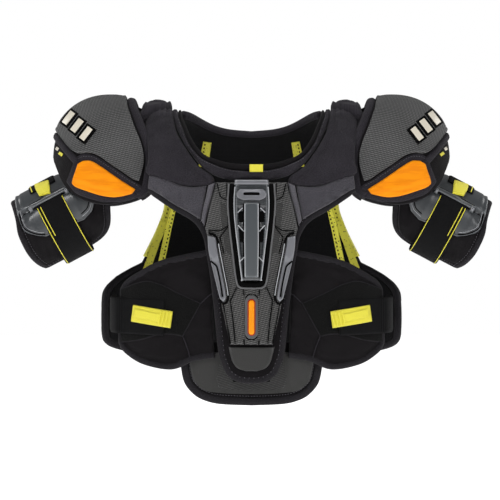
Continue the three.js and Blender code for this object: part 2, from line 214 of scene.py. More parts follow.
def waves(p, size, seed=0):
    """Smooth random field, about -1 to 1, with bumps of the given size in millimetres."""
    rng = np.random.RandomState(seed)
    total = np.zeros(p.shape[:-1])
    for _ in range(7):
        d = rng.normal(size=p.shape[-1])
        d = d / np.linalg.norm(d) * 2 * math.pi / (size * rng.uniform(0.7, 1.5))
        total += np.sin(p @ d + rng.uniform(0, 6.3))
    return total / 3.5


# ---------------------------------------------------------------- meshes
def mesh_object(name, vertices, faces, merge=0.02, sewn=None):
    """Makes an object from millimetre vertices, merges doubles and turns the faces out."""
    mesh = bpy.data.meshes.new(name)
    mesh.from_pydata((np.asarray(vertices) * MM).tolist(), [], [list(map(int, f)) for f in faces])
    if sewn is not None:
        mesh.attributes.new("sewn", "FLOAT", "POINT").data.foreach_set("value", sewn.astype(np.float32))
    bm = bmesh.new()
    bm.from_mesh(mesh)
    bmesh.ops.remove_doubles(bm, verts=bm.verts, dist=merge * MM)
    bmesh.ops.dissolve_degenerate(bm, dist=1e-6, edges=bm.edges)
    bmesh.ops.delete(bm, geom=[v for v in bm.verts if not v.link_faces], context="VERTS")
    bmesh.ops.recalc_face_normals(bm, faces=bm.faces)
    if bm.calc_volume(signed=True) < 0:
        bmesh.ops.reverse_faces(bm, faces=bm.faces)
    bm.to_mesh(mesh)
    bm.free()
    mesh.shade_smooth()
    obj = bpy.data.objects.new(name, mesh)
    bpy.context.scene.collection.objects.link(obj)
    return obj


def rings(total, radius, step):
    """Shares of an edge: close together near both ends, even in between."""
    radius = min(radius, total * 0.45)
    start = [radius * (1 - math.cos(math.pi / 2 * k / 4)) for k in range(5)]
    count = max(1, round((total - 2 * radius) / step))
    middle = [radius + (total - 2 * radius) * k / count for k in range(1, count)]
    return np.array(start + middle + [total - d for d in start[::-1]]) / total


def grid_faces(rows, cols, base=0, turn=False):
    i, j = np.meshgrid(np.arange(rows - 1), np.arange(cols - 1), indexing="ij")
    a = (base + i * cols + j).ravel()
    f = np.stack([a, a + 1, a + cols + 1, a + cols], -1)
    return (f[:, ::-1] if turn else f).tolist()


def skin(name, q, surface, low, high, edge=5.0, crown=0.0, grooves=(), wrinkle=0.0, relief=None,
         foot=0.3, seed=1, puff=None):
    """Closes a grid of surface coordinates into a padded panel from offset low to high. The outer
    face rolls over within edge of the rim and meets the inner face at the foot's share of the
    thickness; crown and wrinkle raise it, relief(q, du, dv) adds moulded detail, and grooves are
    (line, width, depth). With puff, cloth pressure then swells the outer face between its seams by up
    to that many millimetres; a groove without depth is only a seam."""
    shape = q.shape[:2]
    flat = surface(q, np.full(shape, float(low)))
    gu = np.concatenate([np.zeros((1, shape[1])),
                         np.cumsum(np.linalg.norm(np.diff(flat, axis=0), axis=-1), axis=0)])
    gv = np.concatenate([np.zeros((shape[0], 1)),
                         np.cumsum(np.linalg.norm(np.diff(flat, axis=1), axis=-1), axis=1)], axis=1)
    du = np.minimum(gu, gu[-1:] - gu)
    dv = np.minimum(gv, gv[:, -1:] - gv)
    roll = lambda d: np.sqrt(np.clip(1 - (1 - np.clip(d / edge, 0, 1)) ** 2, 0, 1))
    swelling = lambda g, end: power(np.sin(np.pi * g / np.maximum(end, 1e-6)), 0.6)
    lift = roll(du) * roll(dv)
    extra = crown * (swelling(gu, gu[-1:]) * swelling(gv, gv[:, -1:]))
    for line, width, depth in grooves:
        extra = extra - depth * np.exp(-(near(q[..., :2], line) / width) ** 2)
    if relief is not None:
        extra = extra + relief(q, du, dv)
    if wrinkle:
        extra = extra + wrinkle * (waves(flat, 26, seed) + 0.4 * waves(flat, 9, seed + 5))
    thick = high - low
    outer = surface(q, low + thick * (foot + (1 - foot) * lift) + extra * lift)
    inner = surface(q, low + thick * foot * (1 - lift))
    vertices = np.concatenate([outer.reshape(-1, 3), inner.reshape(-1, 3)])
    faces = grid_faces(*shape) + grid_faces(*shape, shape[0] * shape[1], True)
    if puff is None:
        return mesh_object(name, vertices, faces)
    held = np.minimum(du, dv) < edge * 0.4
    for line, width, _ in grooves:
        held = held | (near(q[..., :2], line) < width * 1.1)
    sewn = np.concatenate([held.ravel(), np.ones(held.size, bool)])
    return swell(mesh_object(name, vertices, faces, sewn=sewn), puff)


PRESSURE, SLACK, FRAMES = 14.0, 0.05, 18


def swell(obj, limit):
    """Cloth pressure on a sewn pad: its seams and inner face are pinned, the rest fills out."""
    mesh = obj.data
    held = np.empty(len(mesh.vertices), np.float32)
    mesh.attributes["sewn"].data.foreach_get("value", held)
    obj.vertex_groups.new(name="sewn").add([int(i) for i in np.nonzero(held > 0.5)[0]], 1.0, "ADD")
    cloth = obj.modifiers.new("Cloth", "CLOTH")
    cloth.settings.quality = 6
    cloth.settings.use_pressure = True
    cloth.settings.uniform_pressure_force = PRESSURE
    cloth.settings.vertex_group_mass = "sewn"
    cloth.settings.shrink_min = -SLACK
    cloth.settings.effector_weights.gravity = 0
    cloth.collision_settings.use_collision = False
    cloth.point_cache.frame_end = FRAMES
    for frame in range(1, FRAMES + 1):
        bpy.context.scene.frame_set(frame)
    filled = obj.evaluated_get(bpy.context.evaluated_depsgraph_get()).to_mesh()
    old, new = np.empty(len(held) * 3), np.empty(len(held) * 3)
    mesh.vertices.foreach_get("co", old)
    filled.vertices.foreach_get("co", new)
    move = (new - old).reshape(-1, 3)
    far = np.linalg.norm(move, axis=1)
    move = move * np.minimum(1, limit * MM / np.maximum(far, 1e-9))[:, None]
    mesh.vertices.foreach_set("co", old + move.ravel())
    obj.modifiers.remove(cloth)
    obj.vertex_groups.clear()
    mesh.attributes.remove(mesh.attributes["sewn"])
    bpy.context.scene.frame_set(1)
    return obj


def pad(name, a, b, low, high, surface=body, edge=5.0, step=4.0, **more):
    """A padded panel between two edges given in the surface's own coordinates."""
    a, b = np.asarray(a, float), np.asarray(b, float)
    laid = lambda q: surface(q[:, 0], q[:, 1], np.full(len(q), float(low)))
    nine, forty = np.linspace(0, 1, 9), np.linspace(0, 1, 40)
    across = float(np.linalg.norm(laid(resample(a, nine)) - laid(resample(b, nine)), axis=1).mean())
    down = (length_of(laid(resample(a, forty))) + length_of(laid(resample(b, forty)))) / 2
    us, vs = rings(down, edge, step), rings(across, edge, step)
    ea, eb = resample(a, us), resample(b, us)
    q = ea[:, None, :] * (1 - vs[None, :, None]) + eb[:, None, :] * vs[None, :, None]
    return skin(name, q, lambda p, offset: surface(p[..., 0], p[..., 1], offset), low, high, edge, **more)


def cap_spine(degrees):
    """(x, z) of the cap's ridge, from 0 at the outer end, over 90 on top, to the neck side."""
    angle = math.radians(degrees)
    across = math.cos(angle)
    reach_x = CAP["outer"] if across > 0 else CAP["inner"]
    return [CAP["x"] + math.copysign(reach_x * abs(across) ** (2 / ROUND), across),
            CAP["z"] + CAP["top"] * math.sin(angle) ** (2 / ROUND)]


def dome_surface(q, offset):
    """The whole cap over (x, z, side)."""
    x, z = q[..., 0], q[..., 1]
    return np.where(q[..., 2:] < 0, cap_front(x, z, offset), cap_back(x, z, offset))


CAP_GIRTH = 300.0  # about the length of the cap's middle, front to back


def dome(name, spine, rim, low, high, edge=5.0, step=4.0, **more):
    """A cap layer from the front rim, over the top of the shoulder, to the back rim."""
    rim = np.asarray(rim, float)
    us = rings(length_of(rim) * 1.15, edge, step)
    ridge = np.array([cap_spine(spine[0] + u * (spine[1] - spine[0])) for u in us])
    foot = resample(rim, us)
    half = rings(CAP_GIRTH, edge, step)
    w = 1 - np.cos(np.abs(half * 2 - 1) * math.pi / 2)
    side = np.where(half < 0.5, -1.0, 1.0)
    xz = ridge[:, None] + w[None, :, None] * (foot - ridge)[:, None]
    q = np.concatenate([xz, np.broadcast_to(side[None, :, None], xz.shape[:2] + (1,))], -1)
    return skin(name, q, dome_surface, low, high, edge, **more)


def sweep(name, path, normals, profile, closed=False):
    """Sweeps a closed profile (side, up) along a path whose up direction is given."""
    path, normals = np.asarray(path, float), unit(np.asarray(normals, float))
    n = len(path)
    if closed:
        tangent = unit(np.roll(path, -1, 0) - np.roll(path, 1, 0))
    else:
        tangent = unit(np.gradient(path, axis=0))
    side = unit(np.cross(tangent, normals))
    up = np.cross(side, tangent)
    prof = np.asarray(profile, float)
    m = len(prof)
    v = path[:, None] + side[:, None] * prof[None, :, :1] + up[:, None] * prof[None, :, 1:]
    at = lambda i, j: i % n * m + j % m
    faces = [[at(i, j), at(i, j + 1), at(i + 1, j + 1), at(i + 1, j)]
             for i in range(n if closed else n - 1) for j in range(m)]
    if not closed:
        faces.append(list(range(m))[::-1])
        faces.append([(n - 1) * m + j for j in range(m)])
    return mesh_object(name, v.reshape(-1, 3), faces, merge=0.001)


def oval(width, height, count=12, square=2.6):
    """Rounded section; a higher square makes it boxier."""
    a = np.linspace(0, 2 * math.pi, count, endpoint=False)
    c, s = np.cos(a), np.sin(a)
    return np.stack([np.sign(c) * np.abs(c) ** (2 / square) * width / 2,
                     np.sign(s) * np.abs(s) ** (2 / square) * height / 2], -1)


def strap_profile(width, thick, count=20):
    """Flat webbing section: even points along both faces, rounded selvedges."""
    x = np.linspace(-width / 2, width / 2, count)
    drop = thick / 2 * np.sqrt(np.clip(1 - power(np.abs(x) / (width / 2), 12), 0, 1))
    return np.concatenate([np.stack([x, drop], -1), np.stack([x[::-1], -drop[::-1]], -1)[1:-1]])


def on_surface(line, offset, surface=body, step=3.0):
    """Points and outward normals along a line laid on a surface."""
    line = np.asarray(line, float)
    count = max(8, int(length_of(surface(line[:, 0], line[:, 1], np.zeros(len(line)))) / step))
    q = resample(line, np.linspace(0, 1, count + 1))
    height = offset(q) if callable(offset) else np.full(len(q), float(offset))
    p = surface(q[:, 0], q[:, 1], height)
    return p, unit(surface(q[:, 0], q[:, 1], height + 1) - p)


def cord(name, line, height, wide, tall, count=8, step=3.0, square=2.6, surface=body):
    """A rounded strip laid along a line on a surface."""
    return sweep(name, *on_surface(line, height, surface, step), oval(wide, tall, count, square))


def cords(name, lines, *section, **more):
    return join(name, [cord(f"{name}_{k}", line, *section, **more) for k, line in enumerate(lines)])


def stitch_line(name, line, offset, surface=body, long=2.6, gap=1.6, thick=0.55):
    """A row of thread stitches, each a small rounded bead lying on the surface."""
    p, up = on_surface(line, offset, surface, 1.0)
    count = int(length_of(p) / (long + gap))
    share = (np.arange(count) + 0.5) / count
    centre = resample(p, share)
    ups = unit(np.stack([np.interp(share, np.linspace(0, 1, len(up)), up[:, k]) for k in range(3)], -1))
    ahead = unit(resample(p, np.clip((np.arange(count) + 0.7) / count, 0, 1)) - centre)
    axes = np.stack([ahead, unit(np.cross(ahead, ups)), ups], 1)
    rings_of_six = [(place, size * math.cos(a), size * math.sin(a)) for place, size in ((-0.4, 0.8), (0, 1), (0.4, 0.8))
                    for a in np.linspace(0, 2 * math.pi, 6, endpoint=False)]
    bead = np.array([(-0.5, 0, 0)] + rings_of_six + [(0.5, 0, 0)]) * [long, thick / 2, thick / 2]
    faces = []
    for j in range(6):
        k = (j + 1) % 6
        faces += [[0, 1 + k, 1 + j], [1 + j, 1 + k, 7 + k, 7 + j], [7 + j, 7 + k, 13 + k, 13 + j], [13 + j, 13 + k, 19]]
    return mesh_object(name, (centre[:, None] + bead @ axes).reshape(-1, 3),
                       [[20 * i + v for v in face] for i in range(count) for face in faces], merge=0.001)


def mirror_of(obj, name):
    mesh = obj.data.copy()
    mesh.name = name
    copy = bpy.data.objects.new(name, mesh)
    bpy.context.scene.collection.objects.link(copy)
    bm = bmesh.new()
    bm.from_mesh(mesh)
    bmesh.ops.scale(bm, vec=(-1, 1, 1), verts=bm.verts)
    bmesh.ops.reverse_faces(bm, faces=bm.faces)
    bm.to_mesh(mesh)
    bm.free()
    for key in obj.keys():
        copy[key] = obj[key]
    return copy


def join(name, objs):
    """Joins meshes into one object, keeping each one's material."""
    bpy.ops.object.select_all(action="DESELECT")
    for o in objs:
        o.select_set(True)
    bpy.context.view_layer.objects.active = objs[0]
    bpy.ops.object.join()
    objs[0].name = name
    objs[0].data.name = name
    return objs[0]


# ---------------------------------------------------------------- materials
def linear(hexa):
    """Linear colour of an sRGB hex string."""
    shares = [int(hexa[i:i + 2], 16) / 255 for i in (0, 2, 4)]
    return [c / 12.92 if c <= 0.04045 else ((c + 0.055) / 1.055) ** 2.4 for c in shares] + [1.0]


def grey(value):
    return (value, value, value, 1)


class Net:
    """Builds a node material round a Principled shader, in millimetres along the piece."""

    def __init__(self, name, rough, shine=None, **sockets):
        self.mat = bpy.data.materials.new(name)
        self.mat.use_nodes = True
        self.tree = self.mat.node_tree
        self.bsdf = self.tree.nodes["Principled BSDF"]
        self.bsdf.inputs["Roughness"].default_value = rough
        if shine is not None:
            self.bsdf.inputs["Specular IOR Level"].default_value = shine
        for key, value in sockets.items():
            self.bsdf.inputs[key.replace("_", " ")].default_value = value
        node = self.tree.nodes.new("ShaderNodeAttribute")
        node.attribute_name = "weave"
        self.cloth = node.outputs["Vector"]

    def node(self, kind, *values, **named):
        """Adds a node; sockets take the values in order, or by name with _ for a space."""
        node = self.tree.nodes.new("ShaderNode" + kind)
        for key, value in list(enumerate(values)) + [(k.replace("_", " "), v) for k, v in named.items()]:
            if isinstance(value, bpy.types.NodeSocket):
                self.tree.links.new(value, node.inputs[key])
            else:
                node.inputs[key].default_value = value
        return node

    def math(self, op, *values):
        node = self.node("Math", *values)
        node.operation = op
        return node.outputs[0]

    def sum_of(self, a, share_a, b, share_b):
        return self.math("ADD", self.math("MULTIPLY", a, share_a), self.math("MULTIPLY", b, share_b))

    def mapped(self, scale=(1, 1, 1), turn=0.0):
        return self.node("Mapping", Vector=self.cloth, Rotation=(0, 0, turn), Scale=scale).outputs[0]

    def noise(self, scale, detail=2.0, vector=None):
        return self.node("TexNoise", Scale=scale, Detail=detail,
                         Vector=self.cloth if vector is None else vector).outputs["Fac"]

    def cells(self, vector):
        return self.node("TexVoronoi", Scale=1.0, Vector=vector).outputs["Distance"]

    def grid(self, period, turn=0.0, ratio=1.0):
        """Product of two sines: a plain weave or an array of small cells."""
        k = 2 * math.pi / period
        node = self.node("SeparateXYZ", self.mapped((k, k * ratio, 1), turn))
        return self.math("MULTIPLY", self.math("SINE", node.outputs[0]), self.math("SINE", node.outputs[1]))

    def ribs(self, period, turn):
        k = 2 * math.pi / period
        return self.math("SINE", self.node("SeparateXYZ", self.mapped((k, k, 1), turn)).outputs[0])

    def ramp(self, value, low, high, a=grey(0), b=grey(1)):
        node = self.node("ValToRGB", value)
        for stop, place, color in zip(node.color_ramp.elements, (low, high), (a, b)):
            stop.position, stop.color = place, color
        return node.outputs[0]

    def mix(self, fac, a, b, kind="MIX"):
        node = self.node("MixRGB", fac, a, b)
        node.blend_type = kind
        return node.outputs[0]

    def tint(self, value, low, high, dark, light):
        """Goes from one hex colour to another as the value rises."""
        return self.mix(self.ramp(value, low, high), linear(dark), linear(light))

    def shade(self, share, base, value, low, high, dim, lit):
        """Multiplies part of the base by a ramp from dim to lit."""
        return self.mix(share, base, self.ramp(value, low, high, dim, lit), "MULTIPLY")

    def worn(self, base, share, worn_hex):
        """Paler along convex edges."""
        edges = self.ramp(self.node("NewGeometry").outputs["Pointiness"], 0.52, 0.6)
        return self.mix(self.math("MULTIPLY", edges, share), base, linear(worn_hex))

    def done(self, color, height, depth, rough=None):
        """Links colour, a bump of the given depth in millimetres, and roughness."""
        links = self.tree.links
        links.new(color, self.bsdf.inputs["Base Color"])
        bump = self.node("Bump", Strength=1.0, Distance=depth * MM, Height=height)
        links.new(bump.outputs[0], self.bsdf.inputs["Normal"])
        if rough is not None:
            links.new(rough, self.bsdf.inputs["Roughness"])
        return self.mat


def fabric(name, dark, light, period=1.1, depth=0.16, rough=0.92, sheen=0.05, streak=(0.5, 0.06)):
    """Woven polyester: plain weave, heather streaks, soft shade changes and faint lint."""
    net = Net(name, rough, 0.08, Sheen_Weight=sheen, Sheen_Roughness=0.5)
    weave = net.grid(period)
    heather = net.noise(1.0, 4.0, net.mapped((streak[0], streak[1] * 14, 1)))
    base = net.tint(heather, 0.36, 0.66, dark, light)
    base = net.shade(0.3, base, weave, 0.2, 0.9, grey(0.25), grey(1.1))
    base = net.shade(0.3, base, net.noise(0.018, 3.0), 0.3, 0.7, (0.55, 0.55, 0.57, 1), grey(1.3))
    base = net.mix(net.ramp(net.noise(0.9), 0.72, 0.8, grey(0), grey(0.12)), base, grey(0.5))
    return net.done(base, net.math("ADD", weave, net.math("MULTIPLY", heather, 1.2)), depth)


def brushed(name, dark, light):
    """Brushed knit or neoprene: short pile with a soft halo."""
    net = Net(name, 0.95, 0.06, Sheen_Weight=0.04, Sheen_Roughness=0.45)
    pile = net.noise(1.3, 5.0)
    base = net.tint(pile, 0.3, 0.7, dark, light)
    base = net.shade(0.35, base, net.noise(0.02, 3.0), 0.3, 0.7, grey(0.6), grey(1.25))
    return net.done(base, net.sum_of(pile, 1.4, net.grid(0.9, 0.0, 0.6), 0.4), 0.3)


def loop_pile(name, dark, light):
    """Hook-and-loop pile: tangled dark fibres."""
    net = Net(name, 1.0, 0.04, Sheen_Weight=0.05, Sheen_Roughness=0.6)
    fibres = net.noise(0.9, 8.0)
    curls = net.cells(net.mapped((0.55, 0.55, 1)))
    return net.done(net.tint(fibres, 0.35, 0.7, dark, light), net.math("ADD", fibres, curls), 0.7)


def open_mesh(name, dark, light):
    """Spacer mesh: rows of small round holes in a knitted face."""
    net = Net(name, 0.95, 0.04, Sheen_Weight=0.05, Sheen_Roughness=0.5)
    holes = net.grid(3.4, math.pi / 4)
    base = net.mix(net.ramp(holes, 0.35, 0.6, grey(1), grey(0)), linear("050505"), linear(light))
    pits = net.math("MULTIPLY", net.ramp(holes, 0.3, 0.6), 1.5)
    return net.done(net.mix(0.5, base, linear(dark)), net.math("SUBTRACT", net.noise(1.2, 4.0), pits), 0.5)


def moulded_skin(name, dark, light, period, turn, ratio, rough, depth):
    """Moulded foam skin with an array of tiny slanted cells, worn paler along its edges."""
    net = Net(name, rough, 0.35)
    cells, grain = net.grid(period, turn, ratio), net.noise(0.8, 3.0)
    base = net.tint(cells, 0.1, 0.8, dark, light)
    base = net.shade(0.35, base, net.noise(0.016, 3.0), 0.3, 0.7, grey(0.7), grey(1.2))
    rough_map = net.ramp(grain, 0.2, 0.8, grey(rough - 0.08), grey(rough + 0.12))
    height = net.math("ADD", cells, net.math("MULTIPLY", grain, 0.8))
    return net.done(net.worn(base, 0.35, "8a8a8c"), height, depth, rough_map)


def plastic(name, base_hex, worn_hex, rough, coat, streak_hex=None, metal=0.0, shine=0.5):
    """Injection-moulded plastic: faint orange peel, scuffs, paler worn edges."""
    net = Net(name, rough, shine, Coat_Weight=coat, Coat_Roughness=0.18, Metallic=metal)
    scuff = net.noise(1.0, 6.0, net.mapped((0.05, 1.3, 1), 0.9))
    base = linear(base_hex)
    if streak_hex:
        flow = net.noise(1.0, 4.0, net.mapped((0.03, 0.16, 1), 0.5))
        base = net.mix(net.ramp(flow, 0.42, 0.62), base, linear(streak_hex))
    base = net.shade(0.3, base, net.noise(0.02), 0.3, 0.7, grey(0.8), grey(1.12))
    rough_map = net.ramp(scuff, 0.45, 0.75, grey(rough), grey(min(rough + 0.22, 1)))
    height = net.sum_of(net.noise(0.35, 3.0), 0.6, scuff, 0.25)
    return net.done(net.worn(base, 0.4, worn_hex), height, 0.12, rough_map)


def webbing(name, dark, light):
    """Ribbed elastic webbing."""
    net = Net(name, 0.9, 0.07, Sheen_Weight=0.02, Sheen_Roughness=0.5)
    ribs = net.ribs(1.5, math.pi / 2)
    base = net.tint(ribs, 0.1, 0.9, dark, light)
    base = net.shade(0.4, base, net.noise(1.0, 4.0), 0.25, 0.75, grey(0.6), grey(1.3))
    return net.done(base, net.sum_of(ribs, 0.7, net.grid(0.8), 0.4), 0.25)


def tape(name, base_hex, dark_hex, dots=True):
    """Woven polyester tape, with small dark marks where dots is true."""
    net = Net(name, 0.6, Sheen_Weight=0.1)
    weave = net.grid(0.8)
    base = net.mix(net.ramp(weave, 0.1, 0.9, grey(0), grey(0.35)), linear(base_hex), linear(dark_hex))
    if dots:
        spots = net.ramp(net.cells(net.mapped((0.26, 0.26, 1), 0.35)), 0.16, 0.22, grey(1), grey(0))
        base = net.mix(spots, base, linear("2c2b1a"))
    return net.done(base, weave, 0.12)


# Every look: its slot and its material.
LOOKS = {
    "black": ("foam", brushed("black_knit", "0e0d0e", "1e1c1e")),
    "binding": ("foam", fabric("black_binding", "1b1a1c", "2d2b2f", 0.9, 0.12, 0.9, 0.05)),
    "charcoal": ("fabric", fabric("charcoal_fabric", "242226", "39363c", 1.2, 0.16)),
    "heather": ("panel", fabric("heather_grey", "36343a", "58565c", 1.2, 0.2, 0.88, 0.15, (0.9, 0.05))),
    "light_heather": ("panel", fabric("light_heather", "4e4c52", "6e6c72", 1.2, 0.2, 0.88, 0.15, (0.9, 0.05))),
    "loop": ("webbing", loop_pile("loop_pile", "040404", "131313")),
    "mesh": ("foam", open_mesh("spacer_mesh", "080808", "1c1c1e")),
    "plate": ("moulded", moulded_skin("moulded_plate", "1e1e1e", "6c6b6a", 3.0, 0.6, 0.72, 0.6, 0.3)),
    "tab_skin": ("moulded", moulded_skin("tab_skin", "232322", "363534", 1.4, 0.3, 1.0, 0.6, 0.15)),
    "plate_dark": ("moulded", moulded_skin("moulded_plate_dark", "151515", "454443", 2.6, 0.6, 0.72, 0.6, 0.25)),
    "cover": ("moulded", moulded_skin("cap_cover_skin", "2e2e2e", "707070", 3.0, 0.6, 0.72, 0.66, 0.35)),
    "smooth": ("moulded", moulded_skin("smooth_moulded", "454546", "535354", 1.2, 0.3, 1.0, 0.5, 0.08)),
    # Near-black: the own colour of the badge backing, tape ticks and bezel base, and painted shade in the creases,
    # channels, vents and the boss's cross slot that it fills.
    "groove": ("moulded", plastic("black_and_painted_shade", "040404", "0e0e0f", 0.85, 0.0, None, 0.0, 0.06)),
    # Painted highlight: bright strips laid along the edges of the guard, its spine and the side insert.
    "edge": ("silver", plastic("bright_edge", "8e9094", "d0d2d5", 0.3, 0.2)),
    "guard": ("plastic", plastic("grey_guard", "292c2f", "9a9ea2", 0.2, 0.5)),
    "spine": ("plastic", plastic("grey_spine", "33383c", "a4a8ac", 0.3, 0.5)),
    "silver": ("silver", plastic("silver_insert", "66676c", "c2c3c7", 0.3, 0.3, None, 0.3)),
    "shell": ("plastic", plastic("bicep_grey", "323538", "a0a4a8", 0.34, 0.25)),
    "orange": ("orange", plastic("orange_gloss", "e88a00", "f6a000", 0.5, 0.0, "dc7c00", 0.0, 0.12)),
    "amber": ("orange", plastic("amber_accent", "e48a04", "f0a020", 0.45, 0.1, None, 0.0, 0.12)),
    "red": ("orange", plastic("red_edge", "8a1406", "c03818", 0.4, 0.1, None, 0.0, 0.15)),
    "badge": ("silver", plastic("pale_badge", "c9c2b2", "efe9db", 0.4, 0.2)),
    "yellow": ("yellow", tape("yellow_tab", "e2d838", "b0a822", False)),
    "tape": ("yellow", tape("yellow_tape", "fcf650", "b8b22c")),
    # Painted shade: a darker copy of the tape's yellow, for tapes that lie in shade.
    "painted_shade_tape": ("yellow", tape("shaded_tape", "dcd63c", "948e24")),
    "webbing": ("webbing", webbing("black_webbing", "0b0b0c", "1b1b1c")),
    "thread": ("foam", fabric("black_thread", "141314", "2d2b2d", 0.5, 0.05, 0.6, 0.1)),
    "thread_grey": ("panel", fabric("grey_thread", "5a585e", "75737a", 0.5, 0.05, 0.6, 0.1)),
}

# ---------------------------------------------------------------- weave coordinates, in millimetres
CAP_ROUND, ARM_ROUND, WAIST_ROUND, WAIST_HEIGHT = 95.0, 60.0, 200.0, -292.0


def flat_body(p):
    up = np.clip((p[:, 2] - ARCH_BASE) / (ARCH_TOP - ARCH_BASE), 0, 1)
    turn = np.arccos(up ** (ROUND / 2)) * 2 / math.pi * ARCH_LENGTH
    s = np.where(p[:, 2] < ARCH_BASE, ARCH_LENGTH + ARCH_BASE - p[:, 2], turn)
    return p[:, 0], np.where(p[:, 1] < 0, -s, s)


def flat_cap(p):
    turn = np.arctan2(p[:, 2] - CAP["z"], np.abs(p[:, 1]) + 1e-6)
    return np.abs(p[:, 0]), np.sign(p[:, 1]) * turn * CAP_ROUND


def flat_arm(p):
    d = np.stack([np.abs(p[:, 0]), p[:, 1], p[:, 2]], -1) - ARM_POINT
    return d @ ARM_OUT, np.arctan2(d @ ARM_BACK, d @ ARM_UP) * ARM_ROUND


def flat_side(p):
    """Strip lengthwise in x and y, across in z; the across value comes first."""
    return p[:, 2] - WAIST_HEIGHT, np.arctan2(p[:, 1], np.abs(p[:, 0])) * WAIST_ROUND


def flat_web(p):
    return p[:, 1], p[:, 2] * 1.3


def dress(obj, look, flat):
    """Weave coordinates and material."""
    co = np.empty(len(obj.data.vertices) * 3)
    obj.data.vertices.foreach_get("co", co)
    a, b = flat(co.reshape(-1, 3) / MM)
    data = np.stack([a, b, np.zeros(len(a))], -1).astype(np.float32)
    layer = obj.data.attributes.get("weave") or obj.data.attributes.new("weave", "FLOAT_VECTOR", "POINT")
    layer.data.foreach_set("vector", data.ravel())
    obj.data.materials.clear()
    obj.data.materials.append(LOOKS[look][1])


def piece(obj, look, rides, node=None, flat=flat_body):
    """Gives a finished piece its material, body and the CAD node it stands for."""
    dress(obj, look, flat)
    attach(obj, rides)
    if node:
        obj.name = obj.name.split(".")[0] + "_visual"
        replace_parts(obj, node)
    return obj


def two(make, name, look, rides, node=None, flat=flat_body):
    """Makes the wearer's left piece and its mirror; rides takes the side's name."""
    left = make(name + "_left")
    right = mirror_of(left, name + "_right")
    for obj, side in ((left, "left"), (right, "right")):
        piece(obj, look, rides.format(side), node and f"{node}_{side}", flat)


def pads(name, a, b, low, high, look, rides, node=None, soft=None, flat=flat_body, **more):
    """A panel and its mirror."""
    two(lambda n: pad(n, a, b, low, high, **more), name, look, rides, node, flat)




# ---------------------------------------------------------------- chest
def mid(name, half, low, high, look, rides, node=None, soft=None, **more):
    """A panel across the middle, between an outline and its mirror."""
    return piece(pad(name, flip(half), half, low, high, **more), look, rides, node)


chest_edge = fronts((151, -97), (153, -108), (137, -120), (115, -135), (92, -148), (80, -159),
                    (71, -176), (67, -197), (62, -227), (55, -285), (49, -345), (44, -364),
                    (36, -381), (22, -391), (8, -394))
chest_line = smooth(chest_edge, 8, (1,))
mid("chest_pad", chest_line, 0, 8, "black", "harness", "chest_pad", soft=0.7, edge=3, step=5, wrinkle=0.3)


def binding(name, line, rides, width, height, middle, look="binding"):
    """Folded edge tape sewn over a pad's edge."""
    return piece(cord(name, line, middle, width, height, 14, square=2.8), look, rides)


def shifted(line, by):
    """Moves a flat line sideways, to the left of its direction when by is positive."""
    p = np.asarray(line, float)
    t = unit(np.gradient(p, axis=0))
    return p + np.stack([-t[:, 1], t[:, 0]], -1) * by


binding("chest_binding", whole(shifted(chest_line[8:], -4.5)), "harness", 10.5, 10.5, 4.6)
piece(stitch_line("chest_stitch", whole(shifted(chest_line[8:], -8.2)), 9.4, long=1.6, gap=5.4, thick=0.9),
      "thread_grey", "harness")

# Upper chest panels, each with a paler strip beside the plate.
panel_top = smooth(fronts((150, -84), (128, -89), (107, -98), (86, -101), (66, -99)), 8)
panel_low = smooth(fronts((152, -103), (137, -111), (115, -126), (92, -139), (75, -150)), 8)
# The groove without depth is the seam that the cloth is held at.
panel_seam = (fronts((140, -90), (104, -106), (82, -110)), 2.2, 0.0)
pads("upper_chest_panel", panel_top, panel_low, 6, 13.5, "heather", "harness", "upper_chest_panel", soft=0.6,
     edge=4, step=3.5, crown=1.2, wrinkle=0.4, puff=3, grooves=[panel_seam])
pads("chest_strip", smooth(fronts((53, -95), (58, -115), (64, -137), (69, -159)), 8),
     smooth(fronts((64, -99), (67, -115), (71, -132), (74, -151)),
            8), 7, 14, "light_heather", "harness", soft=0.6, edge=3, step=3.5, crown=1, wrinkle=0.3)
two(lambda n: join(n, [stitch_line(f"{n}_{gap}", line + [0, gap], 13.3)
                       for line, gap in ((panel_low, 4.5), (panel_top, -4.0))]),
    "panel_stitch", "thread", "harness")

# ---------------------------------------------------------------- chest plate
plate_edge = fronts((52, -95), (61, -128), (68, -162), (65, -175), (58, -213), (45, -267),
                    (43, -283), (36, -315), (31.5, -336))
plate_line = smooth(plate_edge, 6, (2, 5))


def height_of(q):
    """Height below the neck of points on the straight part of the front, in millimetres."""
    return ARCH_BASE + ARCH_LENGTH + q[..., 1]


def plate_relief(q, du, dv):
    """Facets: a raised middle, a sunk channel round the sternum guard and sharp folds."""
    x, z = np.abs(q[..., 0]), height_of(q)
    half_guard = np.interp(-z, [95, 130, 246], [32, 33.5, 20.5])
    inside = x - half_guard
    channel = -5.5 * (1 / (1 + np.exp(inside / 0.9))) * (1 / (1 + np.exp((-z - 250) / 1.2)))
    half_mid = np.interp(-z, [95, 165, 235, 262, 335], [50, 48, 30, 30, 20])
    wedge = 2.6 / (1 + np.exp((x - half_mid) / 1.3))
    lower = np.interp(-z, [250, 256, 330], [0, 1.0, 1.0])
    centre = np.where(-z > 250, 1.0 / (1 + np.exp((x - 11.5) / 0.8)) * lower, 0)
    return channel + wedge - 1.6 * centre


plate_grooves = [(fronts(*[(side * x, z) for x, z in line]), width, depth) for line, width, depth in (
    (((31, -163), (45, -171), (62, -168)), 1.1, 1.8),
    (((20, -250), (34, -272), (33, -334)), 0.9, 0.9)) for side in (1, -1)]
mid("chest_plate", plate_line, 8, 17.5, "plate", "harness", "chest_plate", soft=0.9, edge=3.5, step=1.7,
    relief=plate_relief, grooves=plate_grooves, foot=0.25)
